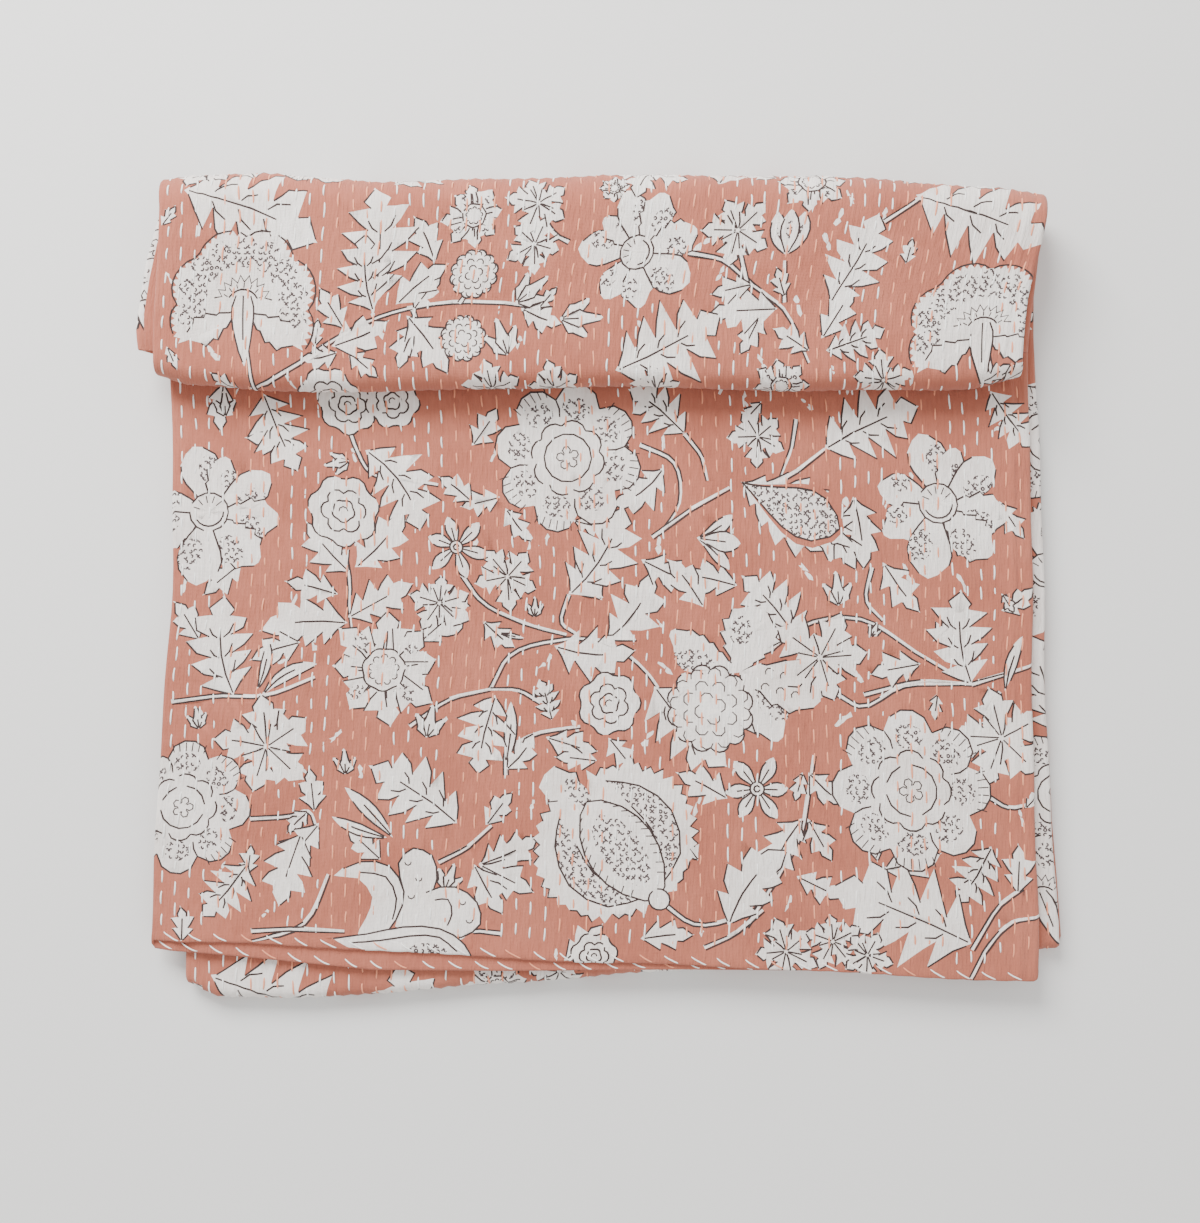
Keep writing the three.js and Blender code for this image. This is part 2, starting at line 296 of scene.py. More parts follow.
def relief(u, v):
    """Height of the quilted face over the plain sheet."""
    phase = (u - FIRST_ROW) / ROW_PITCH
    from_row = 2 * np.abs(phase - np.round(phase))
    swell = 0.8 + 0.3 * np.sin(v / 19 + 1.7 * np.floor(phase)) * np.cos(v / 47 + u / 31)
    height = CREST * swell * from_row - ROW_DEPTH
    height += 0.3 * np.sin(u / 41 + v / 67) + 0.25 * np.sin(u / 19 - v / 83 + 1)
    ridged = smooth_step((v - 262) / 60) * smooth_step((545 - v) / 50)
    for middle, winding, length, width, rise in RIDGES:
        height += rise * ridged * near_line(u, middle + winding * np.sin(v / length), width)
    # A trough inside the rolled edge at the near left corner
    height -= TROUGH * smooth_step((215 - v) / 90) * near_line(u, -366 - v / 24, 2.4)
    return height * shows(u, v)


# Block print on the face cloth. One block leaves the motifs undyed and a second one draws dark lines
# in them, a little off register. Flat millimetres: u to the right, v away from the near hems.
INK_LINE = 1.75
FINE_LINE = 1.3
HARDLY = 0.35  # a point this near the line past it is left out
DEEP_TOOTH = 0.4  # deeper teeth are hooked lobes
OFF_REGISTER = np.array([0.6, -0.4])
DYED, UNDYED, CURLED, DARK, PLAIN = range(5)
hand = np.random.default_rng(11)
printed = []  # pairs of a slot and a closed shape, in the order in which they are laid


def turned(points, at, degrees):
    """Points drawn round (0, 0), turned and carried to their place."""
    c, s = math.cos(math.radians(degrees)), math.sin(math.radians(degrees))
    u, v = np.asarray(points, float).T
    return np.column_stack((at[0] + u * c - v * s, at[1] + u * s + v * c))


def place_of(u, v, at, degrees):
    return turned([(u, v)], at, degrees)[0]


def thinned(path):
    """Leaves out the points where a line hardly bends."""
    path = np.asarray(path, float)
    kept = [path[0]]
    for point, after in zip(path[1:-1], path[2:]):
        chord = after - kept[-1]
        aside = abs(chord[0] * (point - kept[-1])[1] - chord[1] * (point - kept[-1])[0])
        if aside > HARDLY * np.hypot(*chord):
            kept.append(point)
    return np.array(kept + [path[-1]])


def ink(path, width=INK_LINE):
    """A drawn line, thinner at its ends."""
    path = thinned(path) + OFF_REGISTER
    ahead = np.gradient(path, axis=0)
    ahead /= np.maximum(np.hypot(ahead[:, 0], ahead[:, 1]), 1e-6)[:, None]
    taper = 0.4 + 0.6 * np.sin(np.linspace(0.45, math.pi - 0.45, len(path))) ** 0.5
    side = np.column_stack((-ahead[:, 1], ahead[:, 0])) * (taper * width / 2)[:, None]
    printed.append((DARK, np.vstack((path - side, (path + side)[::-1]))))


def leave(shape, slot=UNDYED):
    """A patch that the dye leaves free. A curled one is filled with small dark curls as well."""
    printed.append((slot, thinned(shape)))


def arc(at, radius, start, sweep, count=5):
    turn = np.radians(start + np.linspace(0, sweep, count))
    return np.column_stack((at[0] + radius * np.cos(turn), at[1] + radius * np.sin(turn)))


def curve(points, parts=3):
    """A smooth line through a few points."""
    points = np.array(points, float)
    chord = np.hypot(*np.diff(points, axis=0).T)
    ends = np.gradient(points, np.concatenate(([0], np.cumsum(chord))), axis=0)[:, None]
    t = np.linspace(0, 1, parts, endpoint=False)[:, None]
    start, end = points[:-1, None], points[1:, None]
    leaving, coming = ends[:-1] * chord[:, None, None], ends[1:] * chord[:, None, None]
    path = (
        start * (1 + 2 * t) * (1 - t) ** 2
        + end * t**2 * (3 - 2 * t)
        + leaving * t * (1 - t) ** 2
        - coming * t**2 * (1 - t)
    )
    return np.vstack((path.reshape(-1, 2), points[-1:]))


def blade(length, width, teeth=0, tooth=0.25, bend=0.0, belly=0.5, blunt=0.8):
    """Right side, left side and middle line of a petal or leaf that grows from (0, 0) towards +v."""
    if teeth and tooth > DEEP_TOOTH:
        along = ((np.arange(teeth)[:, None] + [0.16, 0.5, 1.06]) / (teeth + 0.2)).ravel()
        cut = np.tile([1 - tooth, 0.86, 1.3], teeth) * hand.uniform(0.86, 1.14, 3 * teeth)
        cut[-2:] = 0.75, 0.2
    elif teeth:
        along = ((np.arange(teeth)[:, None] + [0.1, 0.85]) / teeth).ravel()
        cut = np.tile([1 - tooth, 1 + tooth * 0.3], teeth)
    else:
        along = np.linspace(0.06, 0.94, 7)
        cut = 1.0
    power = math.log(0.5) / math.log(belly)
    half = width / 2 * np.sin(math.pi * along**power) ** blunt * cut
    line = np.concatenate(([0.0], along, [1.0]))
    half = np.concatenate(([0.0], half, [0.0]))
    bend = bend if abs(bend) > 1e-3 else 1e-3
    spine = length * np.column_stack(((np.cos(bend * line) - 1) / bend, np.sin(bend * line) / bend))
    out = np.column_stack((np.cos(bend * line), np.sin(bend * line))) * half[:, None]
    return spine + out, spine - out, spine


def u_mark(at, size, turn):
    ink(arc(at, size, turn, 190, 5), FINE_LINE)


def curls(at, turn, low, high, half):
    """Fills an oval patch of a petal with small dark curls."""
    t = np.radians(np.arange(0, 360, 40))
    oval = np.column_stack((half * np.cos(t), (low + high) / 2 + (high - low) / 2 * np.sin(t)))
    leave(turned(oval, at, turn), CURLED)


def draw_blade(at, turn, length, width, teeth=0, tooth=0.25, bend=0.0, belly=0.5, blunt=0.8, vein=True):
    right, left, spine = blade(length, width, teeth, tooth, bend, belly, blunt)
    right, left, spine = (turned(p, at, turn) for p in (right, left, spine))
    leave(np.vstack((right, left[-2:0:-1])))
    last = len(right) - 1
    if teeth and tooth > DEEP_TOOTH:
        for side in (right, left):
            for lobe in range(teeth):
                if hand.random() < 0.85:
                    ink(side[3 * lobe + 1 : 3 * lobe + 4])
    else:
        ink(right[int(hand.integers(1, 3)) : last])
        start = int(hand.integers(1, max(2, last // 3)))
        ink(left[start : start + max(3, round(0.7 * last))])
    if vein:
        ink(spine[1 : max(3, int(0.75 * last))])
    return spine


def leaf(at, length, turn, bend=0.0):
    lobes = 3 if length < 55 else 4
    draw_blade(at, turn, 1.06 * length, 0.52 * length, lobes, 0.45, bend, 0.5)


def lance_leaf(at, length, turn, bend=0.0):
    draw_blade(at, turn, length, 0.2 * length, 0, 0, bend, 0.55)


def lobed_leaf(at, length, turn, bend=0.0):
    """A long leaf with hooked lobes on both sides, and a vein in each of them."""
    spine = draw_blade(at, turn, 1.04 * length, 0.54 * length, 5, 0.6, bend, 0.52, 0.55)
    for lobe in (1, 2, 3):
        foot = spine[3 * lobe]
        ahead = spine[3 * lobe + 2] - foot
        ahead = ahead / np.hypot(*ahead)
        for side in (-1, 1):
            aside = np.array([-ahead[1], ahead[0]]) * side
            reach = length * hand.uniform(0.1, 0.14)
            shares = ((0.25, 0), (0.7, 0.35), (1, 1))
            ink([foot + reach * (out * aside + up * ahead) for out, up in shares])


def ring_shape(radius, lobes=0, lobe=0.0, points=0, point=0.0, first=-180.0, last=180.0):
    """Points round a scalloped or frilled circle, or a fan of it, with 0 degrees at +v."""
    count = max(lobes * 5, points * 2, 14)
    degrees = np.linspace(first, last, count + 1)
    turn = np.radians(degrees)
    reach = np.full(count + 1, float(radius))
    if lobes:
        reach *= 1 - lobe * (1 - np.abs(np.sin(turn * lobes / 2)) ** 0.7)
    if points:
        reach *= 1 - point * (np.arange(count + 1) % 2)
    return np.column_stack((-reach * np.sin(turn), reach * np.cos(turn)))


def broken_line(path, at, turn, runs):
    """Ink along a closed outline, in some runs with gaps between them."""
    path = turned(path, at, turn)
    cuts = np.linspace(0, len(path) - 1, runs + 1).astype(int)
    for start, end in zip(cuts[:-1], cuts[1:]):
        if end - start >= 3:
            ink(path[start : end if hand.random() < 0.4 else end + 1])


def hatch(at, turn, low, high, start, end, step):
    for degrees in np.arange(start, end, step):
        way = turned([(0, low), (0, high)], (0, 0), degrees)
        ink(turned(way, at, turn), FINE_LINE)


def disc(at, turn, radius, lobes, lobe, runs):
    shape = ring_shape(radius, lobes, lobe)
    leave(turned(shape[:-1], at, turn))
    broken_line(shape, at, turn, runs)


def wide_flower(at, size, turn):
    """Eight uneven petals, some with frilled ends, round a small disc."""
    for degrees, reach, width, frill in (
        (0, 0.95, 0.56, 0),
        (-38, 0.8, 0.44, 4),
        (62, 0.85, 0.46, 0),
        (-72, 1.0, 0.5, 0),
        (105, 0.9, 0.5, 4),
        (-112, 1.0, 0.56, 5),
        (-152, 1.0, 0.62, 6),
        (158, 1.05, 0.62, 0),
    ):
        way = turn + degrees + hand.uniform(-5, 5)
        draw_blade(at, way, reach * size, width * size, frill, 0.16, 0.25, 0.66, 0.7, vein=False)
        curls(at, way - 7, 0.4 * size, 0.84 * reach * size, 0.27 * width * size)
    disc(at, turn, 0.27 * size, 0, 0, 4)
    ink(turned(arc((0, 0), 0.2 * size, 200, 150, 9), at, turn))
    for degrees in range(-60, 61, 30):
        ink(turned([(0, 0.13 * size), (0, 0.23 * size)], at, turn + degrees), FINE_LINE)


def rosette(at, size, turn):
    """Two scalloped discs, with curls in the outer petals and a ring in the middle."""
    disc(at, turn, size, 8, 0.22, 8)
    for petal in range(8):
        way = 45 * petal + 22.5
        if petal % 3 != 1:
            hatch(at, turn, 0.84 * size, 0.97 * size, way - 15, way + 16, 6)
        curls(at, turn + way, 0.5 * size, 0.82 * size, 0.2 * size)
        if petal % 2:
            fold = np.array([(0, 0.55), (0.02, 0.66), (0, 0.78)]) * size
            ink(turned(fold, at, turn + way + 22.5))
    disc(at, turn, 0.5 * size, 8, 0.14, 8)
    broken_line(ring_shape(0.32 * size), at, turn, 4)
    for degrees in range(0, 360, 72):
        ink(turned(arc((0, 0.1 * size), 0.055 * size, -60, 290, 6), at, turn + degrees), FINE_LINE)


def fan_flower(at, size, turn):
    """A frilled fan of curled petals over two side petals, with a crown and a long leaf."""
    fan = ring_shape(size, 8, 0.12, 44, 0.07, -122, 122)
    leave(turned(np.vstack((fan, [(0, -0.12 * size)])), at, turn))
    broken_line(ring_shape(size, 8, 0.12, 0, 0, -120, 120), at, turn, 9)
    for degrees in range(-100, 101, 25):
        curls(at, turn + degrees, 0.48 * size, 0.9 * size, 0.17 * size)
    for side in (-1, 1):
        draw_blade(at, turn + side * 128, 0.85 * size, 0.4 * size, 5, 0.2, -0.3 * side, 0.7, vein=False)
    draw_blade(place_of(0, 0.2 * size, at, turn), turn + 180, 0.95 * size, 0.3 * size, 0, 0, 0.1, 0.3)
    crown = ring_shape(0.4 * size, 0, 0, 9, 0.22, -75, 75)
    ink(turned(crown, at, turn))
    ink(turned(arc((0, 0), 0.22 * size, 30, 120, 8), at, turn))
    hatch(at, turn, 0.24 * size, 0.3 * size, -60, 61, 20)


def jagged_flower(at, size, turn):
    """Eight lobed petals round a scalloped disc with marks in it."""
    for i in range(8):
        way = turn + 45 * i + hand.uniform(-7, 7)
        reach = size * hand.uniform(0.84, 1.04)
        draw_blade(at, way, reach, 0.6 * size, 3, 0.42, 0.2, 0.6, 0.6)
        if i % 2:
            curls(at, way - 4, 0.42 * size, 0.74 * size, 0.11 * size)
    disc(at, turn, 0.36 * size, 7, 0.12, 7)
    for i in range(9):
        spot = place_of(0, 0.2 * size, at, turn + 40 * i)
        u_mark(spot, 0.055 * size, turn + 40 * i)


def split_flower(at, size, turn):
    """Four large petals to the sides of a ball of scales."""
    marked_petal = -98
    globe = place_of(-0.42 * size, -0.52 * size, at, turn)
    for degrees, reach, width, frill in (
        (-6, 0.95, 0.86, 6),
        (-140, 1.1, 0.56, 5),
        (marked_petal, 1.22, 0.7, 4),
        (72, 1.15, 0.46, 6),
    ):
        way = turn + degrees
        draw_blade(at, way, reach * size, width * size, frill, 0.14, -0.35, 0.62, 0.6, vein=False)
        if degrees != marked_petal:
            curls(at, way + 7, 0.36 * size, 0.84 * reach * size, 0.17 * size)
    scaled_ball(globe, 0.62 * size, turn)
    for low in (0.4, 0.62, 0.84):
        for aside in (-0.12, 0.1):
            spot = place_of(aside * size, low * size, at, turn + marked_petal - 6)
            u_mark(spot, 0.06 * size, turn + 20)


def star_flower(at, size, turn):
    size = 1.1 * size
    for i in range(5):
        way = turn + 72 * i + hand.uniform(-8, 8)
        reach = size * hand.uniform(0.92, 1.12)
        draw_blade(at, way, 1.1 * reach, 0.74 * size, 3, 0.42, 0.2, 0.55, 0.6)


def small_flower(at, size, turn):
    for i in range(6):
        way = turn + 60 * i + hand.uniform(-6, 6)
        draw_blade(at, way, size * hand.uniform(0.88, 1.08), 0.4 * size, 0, 0, 0.2, 0.62)
    disc(at, turn, 0.2 * size, 0, 0, 2)
    ink(turned(arc((0, 0), 0.09 * size, 0, 320, 7), at, turn))


def rose(at, size, turn):
    size = 1.08 * size
    disc(at, turn, size, 7, 0.2, 9)
    broken_line(ring_shape(0.62 * size, 6, 0.22), at, turn, 5)
    broken_line(ring_shape(0.32 * size, 5, 0.25), at, turn, 3)
    u_mark(at, 0.12 * size, turn)


def scaled_ball(at, size, turn):
    """A ball of small overlapping scales."""
    disc(at, turn, size, 12, 0.12, 8)
    for radius, count in ((0.22, 4), (0.5, 8), (0.78, 12)):
        for i in range(count):
            degrees = 360 * (i + radius) / count
            spot = place_of(0, radius * size, at, turn + degrees)
            u_mark(spot, 0.15 * size, turn + degrees - 5)


def smooth_body(at, turn, length, width, bend, belly, blunt, slot):
    """Leaves a body without teeth, and gives its right and left side."""
    body = blade(length, width, bend=bend, belly=belly, blunt=blunt)
    right, left = (turned(side, at, turn) for side in body[:2])
    leave(np.vstack((right, left[-2:0:-1])), slot)
    return right, left


def cone(at, length, turn):
    """A seeded cone between two lobed leaves, parted from them by a dyed gap."""
    for side in (-1, 1):
        draw_blade(at, turn + side * 20, 0.98 * length, 0.34 * length, 5, 0.45, -0.35 * side, 0.6)
    tip = place_of(0, 0.84 * length, at, turn)
    for degrees in (-50, 0, 50):
        draw_blade(tip, turn + degrees, 0.3 * length, 0.16 * length, 2, 0.3, 0)
    smooth_body(at, turn, 1.02 * length, 0.56 * length, 0.15, 0.68, 0.7, DYED)
    for side in smooth_body(at, turn, 0.97 * length, 0.44 * length, 0.15, 0.68, 0.7, CURLED):
        ink(side)


def pomegranate(at, size, turn):
    """Two frilled fans round an inked fruit, with a crown at the top."""
    crown = place_of(0, 0.6 * size, at, turn)
    draw_blade(crown, turn + 8, 0.52 * size, 0.28 * size, 4, 0.2, 0.2, 0.8, 0.5, vein=False)
    curls(crown, turn + 4, 0.14 * size, 0.4 * size, 0.07 * size)
    notches = np.arange(37)
    outside = np.array([(0.04, 0.06), (0.3, 0.16), (0.42, 0.42), (0.34, 0.68), (0.18, 0.84)]) * size
    inside = np.array([(0.18, 0.84), (0.22, 0.6), (0.24, 0.4), (0.16, 0.2), (0.04, 0.06)]) * size
    for side in (-1, 1):
        turn_out = np.radians(12 + 164 * notches / notches[-1])
        reach = np.where(notches % 2, 0.93, 1.0) * hand.uniform(0.97, 1.03, len(notches)) * size
        rim_u = -side * 0.57 * np.sin(turn_out) * reach
        rim_v = 0.47 * size + 0.5 * np.cos(turn_out) * reach
        rim = turned(np.column_stack((rim_u, rim_v)), at, turn)
        leave(np.vstack((rim, turned([(0, 0.02 * size), (0, 0.72 * size)], at, turn))))
        for start in range(1, notches[-1] - 2, 7):
            ink(rim[start : start + 5])
        outer, inner = (turned(curve(line * (-side, 1), 2), at, turn) for line in (outside, inside))
        leave(np.vstack((outer, inner[1:-1])), CURLED)
        ink(outer)
        ink(inner[2:])
    for side in smooth_body(at, turn, 0.8 * size, 0.46 * size, 0, 0.5, 0.6, UNDYED):
        ink(side)
    for side in (-1, 1):
        for along in np.linspace(0.12, 0.7, 11):
            half = 0.23 * math.sin(math.pi * along / 0.8) ** 0.6
            tick = np.array([(side * half, along), (side * (half - 0.045), along + 0.03)]) * size
            ink(turned(tick, at, turn), FINE_LINE)
    curls(at, turn, 0.12 * size, 0.68 * size, 0.14 * size)
    disc(at, turn, 0.07 * size, 0, 0, 2)


def hooked_flower(at, size, turn):
    """A hooked petal at the left, two round ones and a long leaf below."""
    hook = [
        (-0.35, -0.55), (-0.1, -0.2), (0, 0.2), (-0.2, 0.55), (-0.6, 0.6), (-0.95, 0.38),
        (-0.62, 0.36), (-0.42, 0.1), (-0.5, -0.2), (-0.62, -0.5),
    ]
    bulb = [
        (-0.1, -0.3), (0, 0.2), (-0.08, 0.6), (0.12, 0.82), (0.38, 0.72), (0.45, 0.4), (0.3, 0),
        (0.2, -0.4),
    ]
    lobe = [(0.1, -0.35), (0.3, 0.2), (0.7, 0.3), (1.0, 0.1), (1.05, -0.2), (0.8, -0.4), (0.4, -0.4)]
    leaf_below = [
        (-0.95, -0.5), (-0.5, -0.42), (0, -0.3), (0.5, -0.3), (0.85, -0.5), (0.95, -0.85),
        (0.4, -0.85), (-0.1, -0.8), (-0.5, -0.72),
    ]
    for shape, start, end in ((bulb, 1, 6), (hook, 0, 5), (lobe, 1, 6), (leaf_below, 0, 6)):
        points = curve(np.array(shape + shape[:1]) * size, 2)[:-1]
        leave(turned(points, at, turn))
        ink(turned(points[2 * start : 2 * end], at, turn))
    for line in (
        [(-0.6, 0.45), (-0.25, 0.4), (-0.1, 0.1), (-0.15, -0.2)],
        [(0.42, 0.1), (0.6, 0.12), (0.66, -0.08), (0.6, -0.25)],
        [(-0.7, -0.55), (-0.3, -0.5), (0.1, -0.42), (0.5, -0.42), (0.75, -0.6)],
    ):
        ink(turned(curve(np.array(line) * size, 2), at, turn))
    dots = ((0.05, 0.62), (0.2, 0.4), (0.1, 0.15), (0.8, 0.1), (0.9, -0.15), (0.15, -0.65), (0.4, -0.7))
    for spot in turned(np.array(dots) * size, at, turn):
        u_mark(spot, 0.045 * size, turn + 180)
    below = place_of(0.35 * size, -0.62 * size, at, turn)
    curls(below, turn + 90, -0.28 * size, 0.25 * size, 0.12 * size)


def bell_flower(at, length, turn):
    for degrees, width in ((-26, 0.3), (26, 0.3), (0, 0.46)):
        draw_blade(at, turn + degrees, length, width * length, 0, 0, degrees / 60, 0.62)


def bud(at, length, turn):
    for degrees in (-24, 24, 0):
        reach = length * (1 - abs(degrees) / 110)
        draw_blade(at, turn + degrees, reach, 0.38 * length, 2, 0.25, degrees / 70)


def three_petals(at, length, turn):
    for degrees in (-34, 34, 0):
        way = turn + degrees
        draw_blade(at, way, length, 0.42 * length, 0, 0, -degrees / 60, 0.55, vein=False)
        curls(at, way - degrees / 3, 0.3 * length, 0.8 * length, 0.07 * length)


def stem(points):
    """A thin undyed stem between two dark lines, through a few points."""
    path = curve(points, 4)
    ahead = np.gradient(path, axis=0)
    ahead /= np.hypot(ahead[:, 0], ahead[:, 1])[:, None]
    side = np.column_stack((-ahead[:, 1], ahead[:, 0]))
    half = np.linspace(1.9, 1.1, len(path))[:, None]
    leave(np.vstack((path - side * half, (path + side * half)[::-1])))
    ink(path - side * (half + 0.4))
    cut = max(3, int(0.6 * len(path)))
    ink(path[:cut] + side[:cut] * half[:cut])


def speck(at, size):
    """A ragged short streak where the dye missed the cloth."""
    lean = hand.uniform(-50, 50)
    for middle in (-0.6, 0.5):
        turn = np.radians(np.arange(7) * 360 / 7 + hand.uniform(-14, 14, 7))
        reach = size * hand.uniform(0.2, 0.8, 7)
        u, v = 0.55 * np.cos(turn) * reach, middle * size + 1.2 * np.sin(turn) * reach
        leave(turned(np.column_stack((u, v)), at, lean))


# Where the motifs lie. Most places were read off the photo by eye and turned into sheet millimetres by
# another script, and they are that script's numbers, rounded here to 5 mm and 5 degrees. Later kinds
# lie over earlier ones. Columns: u, v, size, turn in degrees, and bend for a leaf
FIELD_PRINT = {
    leaf: [
        (-225, 335, 55, 50, -0.3), (-220, 340, 65, -50, 0.3), (-225, 295, 62, -55, -0.2),
        (-225, 290, 75, 85, 0.5), (-235, 315, 46, 75, 0.2), (55, 430, 55, 150, -0.9),
        (5, 280, 70, -55, 0.8), (-40, 275, 70, -110, 0.6), (-90, 405, 35, 105, 0),
        (-85, 395, 35, -150, 0.3), (-25, 385, 30, -110, 0.3), (-130, 320, 38, -170, -0.3),
        (120, 330, 48, 75, 0.2), (225, 410, 60, -165, -0.3), (250, 355, 50, -150, 0.3),
        (355, 320, 35, -60, 0.3), (285, 270, 45, 100, 0.2), (-250, 120, 26, 130, 0.4),
        (-245, 120, 38, 10, 0), (-240, 110, 52, 145, 0), (-255, 100, 66, 160, 0.2),
        (-80, 165, 40, -50, 0.5), (-45, 195, 45, -110, 0.2), (-95, 115, 36, -30, -0.2),
        (-100, 80, 55, -70, 0.3), (-100, 80, 50, -115, 0), (-105, 80, 48, -155, 0.2),
        (10, 195, 34, -145, 0.2), (115, 145, 48, 60, 0.2), (185, 170, 40, -140, 0.4),
        (180, 170, 25, 165, 0), (180, 130, 58, 140, 0.4), (185, 130, 40, -150, 0),
        (175, 80, 40, -115, 0), (40, 20, 44, -75, -0.3), (115, 35, 84, -15, -0.8),
        (145, 30, 26, -95, 0), (365, 75, 42, -10, 0.2), (375, 150, 20, -45, 0),
        (-355, 0, 30, -5, 0.3), (-300, 60, 26, -5, 0), (90, 215, 82, -75, 0.3),
        (300, 245, 22, 165, 0.3), (355, 335, 18, -145, 0), (-335, 500, 42, 165, 0.3),
        (145, 490, 24, 135, 0), (-270, 445, 46, 75, 0.3), (-115, 450, 40, -40, 0.2),
        (-115, 400, 36, 45, 0.3), (35, 350, 50, -120, 0.3), (0, 315, 42, 40, -0.2),
        (90, 310, 50, 30, 0.3), (-105, 295, 36, -135, 0.3), (-160, 275, 56, -50, 0.2),
        (-320, 340, 44, 125, 0.2), (-265, 270, 45, 105, 0.3), (240, 150, 52, 180, 0.2),
        (250, 90, 52, -80, 0.3), (90, 90, 30, 35, 0.2), (-25, 0, 44, -50, 0.2),
        (295, 290, 38, -45, 0), (0, 175, 36, 80, 0.2), (-185, 80, 38, 45, 0.2),
        (-355, 270, 42, 30, 0.2), (355, 415, 36, -150, 0.2), (205, 390, 46, -160, 0.2),
    ],
    lance_leaf: [
        (-90, 285, 23, -100, 0), (-300, 225, 45, -20, 0.4), (-295, 220, 58, -30, -0.9),
        (360, 250, 52, -5, -0.4), (-175, 100, 62, 40, 0.2), (-180, 100, 52, 80, -0.3),
        (-80, 170, 55, -10, 0.2),
    ],
    lobed_leaf: [
        (-40, 210, 36, 10, 0.3), (345, 115, 58, 155, -0.3), (-300, 70, 60, 150, -0.3),
        (325, 30, 124, 65, 0.2), (50, 240, 90, -145, 0.3), (-90, 230, 70, 160, 0.3),
        (-120, 115, 90, 50, 0.3), (175, 285, 72, 35, 0.3), (330, 255, 80, 25, -0.6),
        (350, 510, 56, -150, 0.3), (200, 450, 92, -55, -0.3), (-30, 320, 90, -50, 0.6),
        (75, 460, 60, 40, 0.4), (-320, 220, 90, 30, -0.7), (-300, 490, 72, -165, 0.3),
        (-210, 445, 86, -120, -0.9),
    ],
    bud: [
        (-225, 435, 23, 105), (25, 450, 26, 95), (210, 315, 30, 5), (-60, 300, 18, 0),
        (-220, 155, 23, 5), (-150, 190, 30, -10), (-335, 470, 23, 0), (240, 290, 14, -20),
        (-350, 190, 21, 10), (-130, 55, 26, -20),
    ],
    cone: [(125, 420, 98, -118)],
    bell_flower: [(85, 370, 39, -95)],
    hooked_flower: [(-165, 40, 63, 0)],
    pomegranate: [(55, 55, 132, 37)],
    split_flower: [(125, 255, 62, 0)],
    jagged_flower: [(-190, 250, 54, 0)],
    star_flower: [
        (-145, 310, 22, 0), (-85, 335, 25, 30), (-290, 175, 37, 10), (355, 210, 37, 10),
        (195, 270, 35, 50), (140, 460, 22, 20), (165, 15, 23, 20), (205, 25, 21, 0),
        (235, 15, 19, 40),
    ],
    small_flower: [(-130, 360, 29, 10), (140, 155, 31, 30)],
    rose: [(-230, 390, 30, 0), (10, 225, 26, 40), (-225, 485, 25, 0), (-185, 490, 23, 30), (0, 5, 19, 0)],
    rosette: [(-30, 440, 66, 10), (275, 160, 70, 25), (-360, 120, 60, 200)],
    wide_flower: [(-350, 385, 64, 10), (300, 410, 64, 10)],
}
FIELD_STEMS = [
    [(-225, 465), (-220, 450), (-205, 425), (-175, 420), (-145, 415)],
    [(-230, 355), (-225, 325), (-225, 305), (-220, 280)],
    [(-375, 215), (-330, 220), (-295, 220), (-250, 240)],
    [(-295, 220), (-300, 200), (-305, 185)],
    [(-125, 335), (-110, 315), (-70, 295), (-30, 285)],
    [(-95, 235), (-80, 265), (-40, 280), (0, 280), (45, 250), (60, 230)],
    [(-165, 200), (-130, 225), (-95, 235)],
    [(35, 450), (65, 435), (70, 400), (50, 370)],
    [(45, 370), (80, 395), (115, 415)],
    [(75, 460), (90, 440), (95, 420)],
    [(-30, 320), (-35, 295), (-20, 285)],
    [(130, 415), (165, 425), (200, 450)],
    [(175, 475), (170, 450), (160, 425)],
    [(150, 275), (175, 295), (230, 305), (280, 280), (330, 255)],
    [(240, 350), (235, 320), (250, 305)],
    [(330, 255), (360, 265), (385, 275)],
    [(235, 240), (285, 255), (330, 255)],
    [(-300, 110), (-265, 115), (-250, 120), (-240, 100)],
    [(-295, 0), (-250, 20), (-230, 65)],
    [(-295, 10), (-250, 15), (-215, 15)],
    [(-135, 80), (-110, 95), (-90, 115)],
    [(-80, 160), (-80, 180), (-60, 195), (-15, 205)],
    [(55, 55), (85, 35), (125, 45), (145, 60)],
    [(130, 35), (155, 75), (180, 120), (185, 155), (190, 185)],
    [(95, 15), (115, 25), (145, 50)],
    [(325, 25), (350, 65), (370, 80)],
    [(325, 0), (340, 30), (360, 50), (385, 55)],
    [(210, 240), (230, 230), (270, 250), (320, 255)],
    [(355, 250), (340, 225)],
    [(-50, 225), (-70, 235), (-95, 235)],
    [(-80, 20), (-105, 20), (-125, 5)],
    [(340, 160), (360, 150), (385, 155)],
]
